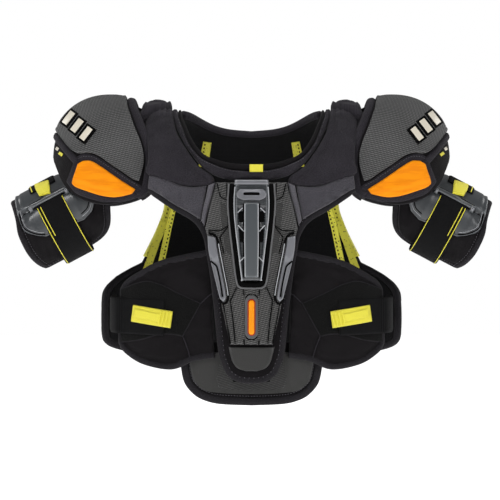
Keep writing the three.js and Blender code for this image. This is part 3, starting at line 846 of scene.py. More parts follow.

# Painted shade: dark strips lying in the creases of the plate's moulded surface.
on_plate = lambda q: 18.0 + plate_relief(q, 20.0, 20.0)
shade_creases = [fronts((62, -166), (45, -166), (33, -158)), fronts((50, -97), (45, -116), (33, -122)),
           fronts((36, -97), (35, -122), (34, -158)), fronts((34, -160), (46, -176), (40, -200)),
           fronts((22, -250), (31, -270), (27, -300), (24, -334)), fronts((41, -276), (31, -334)),
           fronts((12, -252), (11, -262)), fronts((11, -328), (10.5, -336))]
for k, line in enumerate(shade_creases):
    two(lambda n: cord(n, smooth(line, 6, (1,)), on_plate, 1.5, 3.4, step=1.5), f"plate_crease_{k}", "groove",
        "harness")
# Fine-celled strips beside the guard.
strip_in, strip_out = fronts((36, -128), (33, -160), (26, -205)), fronts((46, -124), (43, -158), (38, -196))
pads("plate_mesh", strip_in, strip_out, 19.6, 20.9, "plate_dark", "harness", edge=1.2, step=2.5)

in_line = smooth(fronts((52, -176), (49, -196), (44, -222), (37, -262), (41, -272)), 6)
out_line = smooth(fronts((64, -173), (62.5, -196), (57, -222), (47.5, -262), (45, -268)), 6)


def insert_relief(q, du, dv):
    """Two steps, with a fine cut beside the outer edge."""
    x, z = np.abs(q[..., 0]), height_of(q)
    step = 1 / (1 + np.exp((-z - 208 - (x - 50) * 0.8) / 0.8))
    line = near(np.stack([x, q[..., 1]], -1), fronts((59, -205), (56, -214), (50, -238), (43, -264)))
    return 1.6 * step - 1.5 * np.exp(-(line / 1.0) ** 2)


pads("side_insert", in_line, out_line, 15.5, 20.5, "silver", "harness", "side_insert", edge=1.6, step=1.8,
     relief=insert_relief)
# Painted shade: a dark strip round the insert's rim and one along its step. Painted highlight: a bright strip along its
# inner edge.
insert_rim = smooth(fronts((62, -170), (55, -172), (50, -178), (46, -196), (41, -222), (34, -262), (40, -275),
                           (46, -267)), 6)
two(lambda n: cord(n, insert_rim, 17.2, 3.6, 3.2, 10), "insert_groove", "groove", "harness")
step_line = smooth(fronts((59, -211), (52, -217), (49.5, -222), (45, -244), (42, -264)), 5)
two(lambda n: cord(n, step_line, 21.6, 2.6, 2.4, step=1.5), "insert_step", "groove", "harness")
two(lambda n: cord(n, shifted(in_line, -3.0)[3:-6], 21.8, 1.4, 1.4, step=1.5), "insert_edge", "edge", "harness")

# ---------------------------------------------------------------- sternum guard
guard_line = smooth(fronts((24.5, -97), (25.5, -104), (26.5, -122), (25.5, -150), (20.5, -195), (15.5, -236),
                           (14, -240)), 6, (1,))


def guard_relief(q, du, dv):
    """Sunk panels with vents and cross bars, between raised rails."""
    x, z = np.abs(q[..., 0]), height_of(q)
    cut = lambda lo, hi, x0, x1: (1 / (1 + np.exp((x0 - x) / 0.5)) / (1 + np.exp((x - x1) / 0.5))
                                  / (1 + np.exp((-z - hi) / 0.6)) / (1 + np.exp((lo + z) / 0.6)))
    far = np.interp(-z, [130, 240], [19.5, 16])
    vents = cut(138, 152, 12.5, far - 1) + cut(162, 181, 12.5, far - 2.5)
    bars = 1.2 * (np.exp(-((-z - 157 - (x - 12) * 0.7) / 1.6) ** 2)
                  + np.exp(-((-z - 206 + (x - 12) * 0.5) / 1.5) ** 2)) * (x > 11)
    rail = 2.2 * np.exp(-((x - np.interp(-z, [100, 150, 240], [22, 22, 13])) / 1.5) ** 2)
    panel = -1.6 / (1 + np.exp((11 - x) / 0.6)) / (1 + np.exp((x - far) / 0.6)) * (z < -131)
    return panel - 3.6 * vents + bars + rail


mid("sternum_guard", guard_line, 14.5, 23.5, "guard", "harness", "sternum_guard", edge=2.5, step=1.5,
    relief=guard_relief, foot=0.2)
spine_edge = smooth(fronts((10, -124), (10.5, -131), (10.5, -150), (10, -200), (9.5, -236)), 6)
mid("sternum_spine", spine_edge, 22, 28.5, "spine", "harness", "sternum_spine", edge=2.2, step=2.2,
    relief=lambda q, du, dv: 0.5 * np.exp(-((np.abs(q[..., 0]) - 6.5) / 0.7) ** 2), foot=0.15)


def boss_relief(q, du, dv):
    """A cross slot."""
    x, z = np.abs(q[..., 0]), height_of(q)
    return -3.4 / (1 + np.exp((x - 11.5) / 0.5)) / (1 + np.exp((np.abs(z + 111.5) - 2.0) / 0.4))


boss = smooth(fronts((17, -105), (20.5, -108), (22, -112), (20, -117), (12, -121)), 6)
mid("sternum_vent", boss, 22, 27.5, "silver", "harness", "sternum_vent", edge=2.4, step=1.2, relief=boss_relief)
bar = fronts((24.5, -92.5), (25.5, -99.5))
mid("sternum_bar", bar, 18, 25.5, "silver", "harness", edge=2.0, step=2.5)
recess = smooth(fronts((12, -238), (11, -247), (8, -249)), 4)
mid("sternum_recess", recess, 14, 17.5, "groove", "harness", edge=1.4, step=1.5, relief=lambda q, du,
    dv: 0.7 * np.sin(q[..., 0] * 1.4) * np.sin(q[..., 1] * 1.4))
# Painted shade: a dark strip fills the channel round the guard, inside a grey rim.
for name, by, width, height, look in (("guard_channel_rim", 4.6, 3.0, 20.6, "smooth"),
                                      ("guard_channel", 0.0, 7.4, 20.0, "groove")):
    ring = smooth(fronts((28.5 + by, -98), (30 + by, -122), (28.5 + by, -150), (23.5 + by, -195),
                         (18 + by, -238), (13 + by, -245 - by), (6, -247 - by)), 6)
    piece(cord(name, whole(ring), height, width, 3.2, 10), look, "harness")

# Painted highlights along the guard's edges and cross ribs, and painted shade in its dark vents.
highlight_lines = [shifted(guard_line, -1.2)[4:], fronts((19.5, -158), (11, -167)), fronts((17.5, -212), (10.5, -205)),
          fronts((13, -132), (20, -139))]
two(lambda n: cords(n, highlight_lines, 24.2, 1.6, 1.6, step=1.5), "guard_edge", "edge", "harness")
# Painted highlight: a bright strip along each side of the spine; painted shade: a dark strip just outside it.
two(lambda n: cord(n, fronts((9.6, -126), (9.8, -180), (9.2, -234)), 27.8, 1.5, 1.5, step=1.5), "spine_edge",
    "edge",
    "harness")
two(lambda n: cord(n, fronts((11.6, -126), (11.8, -180), (11.2, -235)), 23.6, 2.2, 2.2, step=1.5),
    "spine_shadow",
    "groove", "harness")
# Painted shade: dark pads in the guard's vents and in the boss's cross slot.
for k, (x0, top, x1, low) in enumerate(((12.6, -138, 18.6, -153), (12.4, -165, 17.8, -183))):
    two(lambda n: pad(n, fronts((x0, top), (x0, low)), fronts((x1, top), (x1 - 1, low)), 21.0, 23.4, edge=0.8,
                      step=1.5, foot=0.1), f"guard_vent_{k}", "groove", "harness")
slot = fronts((12, -109.6), (12, -113.2))
mid("vent_slot", slot, 24.5, 26.6, "groove", "harness", edge=0.8, step=1.5, foot=0.1)


# Accent slot below the guard.
def capsule(half, top, bottom):
    """Right-hand side of an upright round-ended slot."""
    turns = np.linspace(0.25, math.pi / 2, 7)
    upper = [(half * math.sin(a), top - half * (1 - math.cos(a))) for a in turns]
    lower = [(half * math.sin(a), bottom + half * (1 - math.cos(a))) for a in turns[::-1]]
    return fronts(*(upper + lower))


slot_line = capsule(12.5, -258.5, -330)
mid("accent_bezel_base", slot_line, 14, 18.6, "groove", "harness", edge=1.8, step=2)
bezel = capsule(10, -261, -327)
mid("accent_bezel", bezel, 15, 20.6, "smooth", "harness", "accent_bezel", edge=1.8, step=1.8)
glow = capsule(6.2, -267, -322)
mid("accent_edge", glow, 18, 21.2, "red", "harness", edge=1.2, step=2)
lens = capsule(4.6, -268.5, -320.5)
mid("accent_insert", lens, 18, 22.6, "amber", "harness", "accent_insert", edge=2.2, step=1.5)

tab_line = smooth(fronts((34, -339), (32, -349), (28, -362), (21, -371), (8, -375.5)), 6)
mid("lower_tab", tab_line, 7.5, 14, "tab_skin", "harness", "lower_tab", soft=0.8, edge=3, step=3, crown=1)


# ---------------------------------------------------------------- neck and shoulders
def neckline(x, *points):
    """Down over the shoulder beside the neck, then along the front to the middle."""
    return smooth([(x, 52), (x, 26), (x, 0)] + fronts(*points), 6)


neck_in = neckline(106, (104, 1), (97, -15), (87, -35), (72, -53), (55, -61), (32, -67), (0, -69))
neck_seam = neckline(112, (110, 0), (103, -17), (93, -39), (77, -58), (58, -68), (33, -76), (0, -79))
neck_out = neckline(122, (119, 0), (113, -14), (103, -34), (91, -52), (75, -71), (57, -84), (31, -91), (0, -93))
piece(pad("front_collar", whole(neck_seam), whole(neck_out), 0.5, 12, edge=4.5,
          step=3.5, crown=0.8, wrinkle=0.4, foot=0.45, puff=2.5),
      "charcoal", "harness", "front_collar")
piece(pad("collar_binding", whole(neck_in), whole(neck_seam + [0.6, 0]), -1.5, 11.5,
          edge=5, step=3.5, crown=0.4, wrinkle=0.3, foot=0.5),
      "black", "harness")
piece(stitch_line("collar_stitch", whole(shifted(neck_seam, 2.6)), 11.4), "thread_grey", "harness")
piece(stitch_line("collar_stitch_low", whole(shifted(neck_out, -4.2)), 12.6), "thread", "harness")

label_a, label_b = fronts((17, -70.5), (17, -81)), fronts((-3, -70.5), (-3, -81))
piece(pad("collar_label", label_a, label_b, 12, 13.4, edge=0.6, step=1.5), "yellow", "harness", "collar_label")

blade = smooth([(156, 58)] + backs((146, -60), (100, -60), (40, -60), (0, -60)), 8, (1,))
nape_in = smooth([(105, 14), (97, 24)] + backs((80, -2), (60, -11), (36, -17), (0, -20)), 8)
nape_out = smooth([(121, 40)] + backs((112, -10), (92, -20), (62, -29), (36, -34), (0, -37)), 8)
piece(pad("back_collar", whole(nape_in), whole(nape_out), 0, 11, edge=4.5, step=4,
          crown=1, wrinkle=0.4, foot=0.45), "charcoal", "harness", "back_collar")
binding("nape_binding", whole(nape_in), "harness", 9, 13, 5, "charcoal")

piece(pad("upper_lining", whole(nape_in), whole(blade), -2.4, -0.3, edge=1.5, step=7,
          wrinkle=0.3, foot=0.5), "mesh", "harness")

# Clavicle pads: a padded panel with a stitched border along the neck and the lower seam.
clav_in = smooth([(120, -3)] + fronts((114, -15), (105, -34), (93, -52), (78, -71), (58, -85), (54, -96)), 8)
clav_out = smooth([(158, -3)] + fronts((159, -16), (156, -32), (153, -50), (153, -66), (152, -84), (106, -99),
                  (84, -101), (58, -98)), 8, (4,))
clav_seams = [(shifted(clav_in, 9.0), 1.6, 2.4),
              (fronts((146, -12), (146, -60), (142, -76), (106, -91), (84, -93)), 1.6, 1.8)]
pads("clavicle_pad", clav_in, clav_out, 0.5, 13, "charcoal", "harness", "clavicle_pad", soft=0.8, edge=6, step=3.6,
     crown=2.5, wrinkle=0.6, foot=0.4, puff=5, grooves=clav_seams)
two(lambda n: stitch_line(n, shifted(clav_in, 11.6)[4:-6], 15.6), "clavicle_stitch", "thread", "harness")

# Shoulder arches: a fat stitched band over the top of each shoulder, with soft mesh under it.
arch_front = smooth([(121, -2), (131, -26), (142, -44), (154, -58), (167, -68)], 6)
arch_back = smooth([(122.5, 56), (140, 58), (166, 54)], 6)
arch_seams = [([(129, -30), (129, 80)], 1.5, 2.4), ([(158, -30), (158, 80)], 1.5, 2.4),
              ([(110, 24), (176, 24)], 1.4, 1.0)]
pads("shoulder_arch", arch_front, arch_back, 0.5, 24, "charcoal", "harness", "shoulder_arch", soft=0.8, edge=8,
     step=3.6, crown=1.0, wrinkle=0.5, foot=0.5, puff=3.5, grooves=arch_seams)
for x in (132.5, 155.0):
    two(lambda n: stitch_line(n, [(x, -4), (x, 20), (x, 48)], 21.6), f"arch_stitch_{int(x)}", "thread_grey",
        "harness")
pads("yoke_pad", [(107, -40), (107, 0), (107, 58)], [(164, -24), (164, 0), (164, 56)], -5, 1.5, "mesh", "harness",
     soft=0.5, edge=3, step=4, wrinkle=0.4, foot=0.5)

# ---------------------------------------------------------------- back
nape_edge = smooth([(158, 52)] + backs((124, -6), (114, -8), (90, -18), (46, -31), (0, -35)), 8)
piece(pad("upper_back_pad", whole(nape_edge), whole(blade), 0, 8, edge=3, step=5,
          crown=1.5, wrinkle=0.6), "charcoal", "harness", "upper_back_pad")
back_edge = smooth(backs((146, -60), (141, -75), (131, -120), (142, -160), (168, -215), (184, -223),
                         (205, -236), (221, -252), (227, -272), (227, -322), (219, -341), (190, -352)), 6,
                   (4, 5))
quilt = [(backs((x, -232), (x * 0.98, -350)), 1.6, 1.6) for x in range(-180, 181, 36)]
quilt += [(backs((-134, z), (134, z)), 1.6, 1.2) for z in (-95, -130, -165, -200)]
mid("back_pad", back_edge, 0, 8.5, "black", "harness", "back_pad", soft=0.7, edge=3.5, step=5, wrinkle=0.4,
    grooves=quilt, puff=3.5)
inner_back = shifted(back_edge, 7)
mid("back_lining", inner_back, -2.2, -0.2, "mesh", "harness", soft=0.3, edge=1.5, step=7, wrinkle=0.3, foot=0.5)
hem_line = shifted(back_edge, 3.5)
for name, line in (("back_binding", whole(hem_line[23:])), ("shoulder_blade_binding", hem_line[:9]),
                   ("shoulder_blade_binding_right", flip(hem_line[:9]))):
    binding(name, line, "harness", 10, 11, 3.6)

spine_back = smooth(backs((34, -70), (41, -90), (40, -120), (34, -180), (27, -221)), 6)
segments = [(backs((-44, z), (0, z - 8), (44, z)), 1.5, 3.4) for z in (-98, -128, -158, -188)]
segments += [(backs((side * 22, -76), (side * 24, -120), (side * 18, -214)), 1.4, 1.6) for side in (1, -1)]
mid("spine_plate", spine_back, 8.5, 16.5, "plate", "harness", "spine_plate", soft=0.9, edge=4, step=3,
    crown=1.5, grooves=segments)
blade_in = smooth(backs((46, -74), (52, -110), (46, -178)), 8)
blade_out = smooth(backs((132, -74), (118, -122), (100, -182)), 8)
blade_seams = [(backs((50, -92), (120, -104)), 1.6, 2.2), (backs((50, -128), (112, -140)), 1.6, 2.2),
               (backs((90, -70), (76, -185)), 1.6, 1.6)]
pads("scapula_plate", blade_in, blade_out, 8.5, 15, "heather", "harness", "scapula_plate", soft=0.8, edge=5,
     step=3.5, crown=2.5, wrinkle=0.4, grooves=blade_seams)
lumbar = smooth(backs((100, -226), (136, -238), (146, -262), (143, -304), (120, -334)), 6)
ribs = [(backs((x, -225), (x * 0.9, -336)), 1.6, 2.2) for x in (-112, -76, -38, 0, 38, 76, 112)]
mid("lower_back_plate", lumbar, 8.5, 14, "heather", "harness", "lower_back_plate", soft=0.8, edge=5, step=4,
    crown=2, grooves=ribs)

# Yellow tapes inside the back, along the arm openings and beside the neck, with dark ticks; the side and neck tapes
# take a darker copy of the yellow as painted shade.
def flat_tape(name, look, a, b, low, high, node=None):
    two(lambda n: pad(n, backs(*a), backs(*b), low, high, edge=0.8, step=3), name, look, "harness", node)


flat_tape("outer_tape", "tape", ((117, -124), (125, -160), (137, -218)),
          ((124, -124), (134.5, -158), (147.5, -219)),
          -4.2, -2.6, "outer_tape")
two(lambda n: sweep(n, *on_surface(shifted(back_edge, 2.5)[8:24], 3.4), strap_profile(13, 13.5)),
    "side_tape", "painted_shade_tape", "harness")
flat_tape("side_tape_end", "painted_shade_tape", ((134, -150), (146, -190), (163, -238)),
          ((144, -150), (157, -190), (176, -238)), -5.2, -3.4)
flat_tape("neck_tape", "painted_shade_tape", ((62, -26), (68, -64)), ((75, -24), (83, -64)), -4.2, -2.6)
for name, line, height in (("outer_tape_ticks", backs((119.5, -126), (128, -160), (140.5, -217)), -4.4),
                           ("side_tape_ticks", backs((128.5, -122), (138.5, -160), (163, -214)), -3.8),
                           ("neck_tape_ticks", backs((72, -26), (79.5, -62)), -4.4)):
    two(lambda n: stitch_line(n, line, height, long=3.0, gap=3.2, thick=2.2), name, "groove", "harness")


# ---------------------------------------------------------------- shoulder caps
cap_rim = smooth([(176, 16), (164, -12), (158, -27), (153, -48), (152, -66), (155, -90), (158, -104),
                  (172, -115), (197, -123), (222, -126), (250, -120), (268, -109), (283, -91), (293, -66)], 5)


# Where the rim meets the ridge, in degrees, and how far these ends turn for each millimetre of inset.
CAP_ENDS, END_TURN = (106, 2), 0.65


def on_cap(make, name, look, node=None):
    two(make, name, look, "cap_{}", node, flat_cap)


def cap_row(degrees, foot):
    """Coordinates over the cap from its front foot to its back foot, through the spine."""
    count, top = 31, np.array(cap_spine(degrees))
    w = 1 - np.cos(np.abs(np.linspace(-1, 1, count)) * math.pi / 2)
    xz = top + w[:, None] * (np.asarray(foot, float) - top)
    return np.concatenate([xz, np.where(np.arange(count) < count / 2, -1.0, 1.0)[:, None]], 1)


def on_side(line, side):
    """(x, z) points on the front (-1) or back (1) of the cap."""
    line = np.asarray(line, float)
    return np.concatenate([line, np.full((len(line), 1), float(side))], 1)


def cap_tube(name, path, offset, profile, closed=False):
    """A tube laid on the cap along (x, z, side) points, evened out three times."""
    p = dome_surface(path, np.full(len(path), float(offset)))
    up = dome_surface(path, np.full(len(path), float(offset) + 1)) - p
    size = np.concatenate([[0], np.cumsum(np.linalg.norm(np.diff(p, axis=0), axis=1))])
    at = np.linspace(0, 1, max(8, int(size[-1] / 2.5)), endpoint=not closed) * size[-1]
    both = np.stack([np.interp(at, size, column) for column in np.concatenate([p, up], 1).T], -1)
    for _ in range(3):
        both[1:-1] = (both[:-2] + 2 * both[1:-1] + both[2:]) / 4
    return sweep(name, both[:, :3], both[:, 3:], profile, closed)


def cap_loop(inset):
    """The whole border of the cap, moved inward."""
    rim = shifted(cap_rim, inset)
    first = cap_row(CAP_ENDS[0] - inset * END_TURN, rim[0])
    last = cap_row(CAP_ENDS[1] + inset * END_TURN, rim[-1])
    return np.concatenate([on_side(rim, -1), last[1:-1], on_side(rim, 1)[::-1], first[::-1][1:-1]])


def cap_inner_line(inset):
    """From the front lower corner, up the neck side, over the top and down the back."""
    rim = shifted(cap_rim, inset)[:int(len(cap_rim) * 0.56)]
    top = cap_row(CAP_ENDS[0] - inset * END_TURN, rim[0])
    return np.concatenate([on_side(rim, -1)[::-1], top[1:-1], on_side(rim, 1)])


on_cap(lambda n: dome(n, CAP_ENDS, cap_rim, -7.5, -0.3, 3.5, 5, wrinkle=0.5, foot=0.4), "cap_liner", "mesh",
       "cap_liner")
shell_seam = ([(256, -64), (285, -30), (300, -8)], 1.5, 1.4)
on_cap(lambda n: dome(n, CAP_ENDS, cap_rim, 0, 5.4, 2.2, 4, wrinkle=0.35, foot=0.4, grooves=[shell_seam]),
       "cap_shell", "black", "cap_shell")
on_cap(lambda n: cap_tube(n, cap_loop(2.5), -1.6, oval(7.5, 13, 12), True), "cap_binding", "binding")
on_cap(lambda n: cap_tube(n, cap_inner_line(3.5), 4.0, oval(14, 11, 14, 2.2)), "cap_welt", "charcoal")

cover_rim = smooth([(189, 14), (178, -14), (170, -32), (165, -48), (164, -62), (167, -78), (171, -91),
                    (180, -88), (194, -78), (212, -66), (227, -55), (239, -50), (250, -50), (258, -50),
                    (267, -44), (277, -32), (286, -20)], 5, (6,))


def cover_relief(q, du, dv):
    """A flat brow folds over into the front face, and a raised lip runs round the rim."""
    x, z = q[..., 0], q[..., 1]
    fold = np.interp(x, [165, 188, 213, 240, 262, 290], [-20, 4, 2, -18, -44, -60])
    brow = 1.4 / (1 + np.exp(-(z - fold) / 1.6)) * (z < 60)
    lip = 1.1 * np.exp(-((np.minimum(du, dv) - 3.0) / 1.4) ** 2)
    return brow * np.clip((60 - z) / 20, 0, 1) * np.clip(np.minimum(du, dv) / 16, 0, 1) + lip


on_cap(lambda n: dome(n, (100, 27), cover_rim, 4.2, 10.6, 2.5, 2.6, relief=cover_relief, foot=0.3), "cap_cover",
       "cover", "cap_cover")
band_path = np.concatenate([on_side([(259, -63), (266, -55), (276, -43)], -1), cap_row(22, (285, -32))])
on_cap(lambda n: cap_tube(n, band_path, 6.0, oval(11, 9, 12)), "cap_band", "charcoal")

# Orange insert in its padded black border.
border_a = smooth([(163, -100), (180, -90), (194, -80), (212, -67), (227, -57), (239, -51), (252, -50),
                   (262, -56)], 6)
border_b = smooth([(172, -116), (184, -119), (197, -122), (213, -123), (226, -122), (244, -117), (262, -109),
                   (276, -92)], 6)
pads("insert_border", border_a, border_b, 2.6, 7.2, "charcoal", "cap_{}", soft=0.7, flat=flat_cap,
     surface=cap_front, edge=3.5, step=3, wrinkle=0.3, foot=0.35)
insert_a = smooth([(176, -103), (194, -91.5), (212, -79), (226, -69), (239, -61), (250, -60.5), (257.5, -65)],
                  8, (5,))
insert_b = smooth([(181, -110), (197, -114), (210, -115), (226, -112.5), (244, -106.5), (260, -100),
                   (266, -94)], 8)


def insert_folds(q, du, dv):
    """A soft ridge along the insert, and a crease above it."""
    x, z = q[..., 0], q[..., 1]
    ridge = np.interp(x, [176, 200, 230, 262], [-107, -103, -96, -84])
    return 1.4 * np.exp(-((z - ridge) / 5) ** 2) - 0.5 * np.exp(-((z - ridge - 16) / 1.2) ** 2)


pads("cap_insert", insert_a, insert_b, 6.0, 11.2, "orange", "cap_{}", "cap_insert", flat=flat_cap,
     surface=cap_front, edge=3.2, step=1.8, relief=insert_folds, foot=0.1)


def slanted_bar(name, look, x, z, long, wide, low, high):
    """A raised bar on the cap, given by its middle, length and width."""
    c, d, n = np.array([x, z], float), np.array([-0.8, -0.6]) * wide / 2, np.array([0.6, -0.8]) * long / 2
    on_cap(lambda name: pad(name, [c - d + n, c - d - n], [c + d + n, c + d - n], low, high, cap_front, edge=0.7,
                            step=1.5, foot=0.1), name, look)


# A generic badge: three slanted bars on one dark backing.
for k, (x, z) in enumerate(((269, -2), (257, -13), (245, -24))):
    slanted_bar(f"cap_badge_back_{k}", "groove", x, z, 25, 15.5, 10.4, 12.4)
    slanted_bar(f"cap_badge_{k}", "badge", x, z, 19, 8, 11.8, 13.4)
slanted_bar("cap_mark_pale", "badge", 290, -42, 4.5, 4.5, 5.2, 6.2)
slanted_bar("cap_mark_yellow", "yellow", 284, -50, 4.5, 6.5, 5.2, 6.2)
for name, line, height in (("welt_stitch", shifted(cap_rim, 15.8)[3:38], 4.2),
                           ("border_stitch", shifted(insert_a, 6.0), 7.6)):
    on_cap(lambda n: stitch_line(n, line, height, cap_front), name, "thread_grey")


# Webs: each cap is laced to its arch, and each arm guard hangs from its cap.
def web(name, path, half, thick):
    """A strip of webbing along (x, z) points, its width running front to back."""
    p = smooth(path, 8)
    p3 = np.stack([p[:, 0], np.zeros(len(p)), p[:, 1]], -1)
    t = unit(np.gradient(p3, axis=0))
    up = np.cross(t, np.array([0, -1.0, 0]))
    return sweep(name, p3, up, strap_profile(half * 2, thick))


def hang(make, name, look, node=None):
    """A web and its mirror, dressed and baked in place with their final shape; they are attached to no body."""
    left = make(name + "_left")
    for side, sign in (("left", 1), ("right", -1)):
        obj = left if sign > 0 else mirror_of(left, name + "_right")
        dress(obj, look, flat_web)
        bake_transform(obj)
        if node:
            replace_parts(obj, f"{node}_{side}")


hang(lambda n: web(n, [(152, 12), (162, 16), (172, 20), (182, 24), (190, 27)], 44, 4.0), "cap_tether",
     "webbing")
hang(lambda n: web(n, [(234, 14), (248, 0), (262, -30), (275, -64)], 18, 2.5), "bicep_link", "webbing",
     "bicep_link")


# ---------------------------------------------------------------- arm guards
cuff_a = smooth([(-38, 72), (-39, 40), (-42, 0), (-58, -32), (-72, -60), (-82, -98), (-74, -124), (-61, -149),
                 (-44, -164), (-26, -171)], 6)
cuff_b = smooth([(50, 72), (53, 40), (55, 0), (55, -32), (58, -60), (64, -82), (66, -100), (66, -125),
                 (61, -148), (54, -168)], 5)
cuff_loop = np.concatenate([cuff_a, resample([cuff_a[-1], cuff_b[-1]], np.linspace(0, 1, 8))[1:-1],
                            cuff_b[::-1], resample([cuff_b[0], cuff_a[0]], np.linspace(0, 1, 8))[1:-1]])


def inset_loop(loop, by):
    """Moves a closed line inward."""
    t = unit(np.roll(loop, -1, 0) - np.roll(loop, 1, 0))
    n = np.stack([-t[:, 1], t[:, 0]], -1)
    return loop + n * by * np.sign(np.median(np.sum(n * (loop.mean(0) - loop), axis=1)))


def cuff_tube(name):
    loop = inset_loop(cuff_loop, 4)
    p, up = on_surface(np.concatenate([loop, loop[:1]]), 50.5, arm, 2.6)
    return sweep(name, p[:-1], up[:-1], oval(9.5, 11.5, 12, 2.5), True)


def on_arm(make, name, look, node=None, rides="bicep_{}"):
    two(make, name, look, rides, node, flat_arm)


on_arm(lambda n: pad(n, cuff_a, cuff_b, 46.0, 55.0, arm, edge=5, step=4, crown=0.8, wrinkle=0.5, foot=0.45,
                     puff=3,
                     grooves=[(inset_loop(cuff_loop, 12), 1.6, 2.0)]), "bicep_foam", "black", "bicep_foam")
on_arm(cuff_tube, "bicep_binding", "binding")
on_arm(lambda n: stitch_line(n, inset_loop(cuff_loop, 10.5), 56.3, arm), "bicep_stitch", "thread_grey")

shell_a = smooth([(-30, 55), (-34, 20), (-38, -8), (-46, -34), (-56, -60), (-63, -80), (-62, -94), (-52, -106),
                  (-34, -112)], 6, (5, 7))
shell_b = smooth([(42, 55), (45, 20), (46, -8), (49, -34), (53, -60), (55, -82), (51, -91), (40, -101),
                  (28, -108)], 6, (5, 7))


def shell_relief(q, du, dv):
    """A raised rim, a stepped inner field, three ribs, a ledge above the strap slot and a facet below it."""
    side = np.minimum(du, dv)
    rim = 1.5 * np.exp(-((side - 3) / 1.6) ** 2)
    field = 1.3 / (1 + np.exp(-(side - 8.5) / 0.7))
    ribs = 0.9 * (np.exp(-((q[..., 0] - 38) / 1.3) ** 2) + np.exp(-((q[..., 0] - 46) / 1.3) ** 2)
                  + np.exp(-((q[..., 0] + 34) / 1.5) ** 2)) * (side > 9)
    ledge = 2.4 * np.exp(-((q[..., 1] + 55) / 2.6) ** 2) - 2.2 * np.exp(-((q[..., 1] + 62) / 3.0) ** 2)
    facet = 1.6 / (1 + np.exp((q[..., 1] + 52 + 0.5 * np.abs(q[..., 0])) / 1.2)) * (q[..., 1] < -20)
    return rim + field + ribs + ledge + facet


on_arm(lambda n: pad(n, shell_a, shell_b, 55.6, 58.6, arm, edge=2.2, step=2.6, relief=shell_relief, foot=0.15),
       "bicep_shell", "shell", "bicep_shell")

# Painted highlights along the moulded arm shell's edges, and painted shade in its creases.
edges = [[(-42, -36), (-51, -60), (-58, -80), (-57, -92), (-49, -101.5), (-34, -106)],
         [(46, -58), (49, -74), (47.5, -85), (37, -96), (28, -101)]]
shade_creases = [[(-39.5, -38), (-48.5, -61), (-55, -80), (-54, -90), (-47, -98.5), (-34, -102.5)],
           [(49, -60), (52, -75), (50.5, -86.5), (39, -98.5), (28, -104)], [(-31, -55), (0, -54), (31, -55)]]
for name, look, lines, wide in (("shell_edge", "silver", edges, 1.3), ("shell_crease", "groove", shade_creases, 2.0)):
    on_arm(lambda n: cords(n, [smooth(line, 5) for line in lines], 60.2, wide, 4.6, step=1.5, surface=arm),
           name, look)


def arm_ribbon(name, u, turns, radius, width, thick):
    """Webbing wound round the cuff from one turn angle to another."""
    t = np.linspace(turns[0], turns[1], max(8, int(abs(turns[1] - turns[0]) / 3)))
    at = lambda r: arm(np.full(len(t), float(u)), t, np.full(len(t), float(r)))
    return sweep(name, at(radius), at(radius) - at(1), strap_profile(width, thick))


STRAP_RADIUS, LINE_RADIUS = 61.0, 62.3
on_arm(lambda n: arm_ribbon(n, -0.5, (-60, -318), STRAP_RADIUS, 47, 2.2), "bicep_strap", "webbing",
       "bicep_strap")
on_arm(lambda n: arm_ribbon(n, -0.5, (40, -34), STRAP_RADIUS, 43, 2.2), "bicep_strap_end", "webbing",
       "bicep_strap_end", rides="bicep_tab_{}")
for k, (u, turns) in enumerate(((-21.5, (-66, -200)), (20.5, (-66, -200)), (15.5, (-66, -112)))):
    on_arm(lambda n: arm_ribbon(n, u, turns, LINE_RADIUS, 1.2, 0.8), f"strap_line_{k}", "yellow")
on_arm(lambda n: arm_ribbon(n, 17.0, (38, -33), LINE_RADIUS, 1.8, 0.8), "end_line", "yellow",
       rides="bicep_tab_{}")
tab_out = smooth([(9.5, -20), (10.5, -34), (9.5, -50)], 6)
tab_in = smooth([(-13.5, -29), (-11, -42), (-7.5, -55)], 6)
on_arm(lambda n: pad(n, tab_out, tab_in, 62.0, 66.0, arm, edge=1.4, step=2, crown=0.8, wrinkle=0.25),
       "bicep_pull_tab", "yellow", "bicep_pull_tab", rides="bicep_tab_{}")
on_arm(lambda n: pad(n, [(8.6, -48), (-7, -53)], [(8.6, -50), (-7, -55)], 65.8, 67.2, arm, edge=0.6, step=2),
       "bicep_tab_fold", "yellow", rides="bicep_tab_{}")


def slot_bar(name):
    """The moulded loop the strap folds back over: a bar between two posts."""
    turn = -61.0
    at = lambda r: arm(np.linspace(-30, 29, 14), np.full(14, turn), np.full(14, r))
    bar = sweep(name, at(63.6), at(2.0) - at(1.0), oval(3.0, 2.6, 10))
    post = lambda u: [(u, turn + 5), (u, turn - 6)]
    posts = [pad(f"{name}_post", post(u - 3.4), post(u + 3.4), 58.0, 64.6, arm, edge=2.2,
                 step=1.5) for u in (-31, 30)]
    return join(name, [bar] + posts)


on_arm(slot_bar, "bicep_bar", "shell", "bicep_bar")


def rivet(name, point, normal, radius, height):
    """A domed rivet head with a small dimple, standing on a flange."""
    n = unit(normal)
    a = unit(np.cross(n, [0.3, 0.2, 0.9]))
    b = np.cross(n, a)
    profile = [(0, 0.62), (0.22, 0.66), (0.3, 0.86), (0.55, 0.94), (0.78, 0.72), (0.86, 0.34), (1, 0.26),
               (1, 0)]
    vertices = [point + n * profile[0][1] * height]
    for r, h in profile[1:]:
        vertices += [point + (a * math.cos(t) + b * math.sin(t)) * r * radius + n * h * height
                     for t in np.linspace(0, 2 * math.pi, 20, endpoint=False)]
    faces = [[0, 1 + (j + 1) % 20, 1 + j] for j in range(20)]
    for i in range(len(profile) - 2):
        o = 1 + i * 20
        faces += [[o + j, o + (j + 1) % 20, o + 20 + (j + 1) % 20, o + 20 + j] for j in range(20)]
    o = 1 + (len(profile) - 2) * 20
    faces.append([o + j for j in range(20)])
    return mesh_object(name, vertices, faces, merge=0.001)


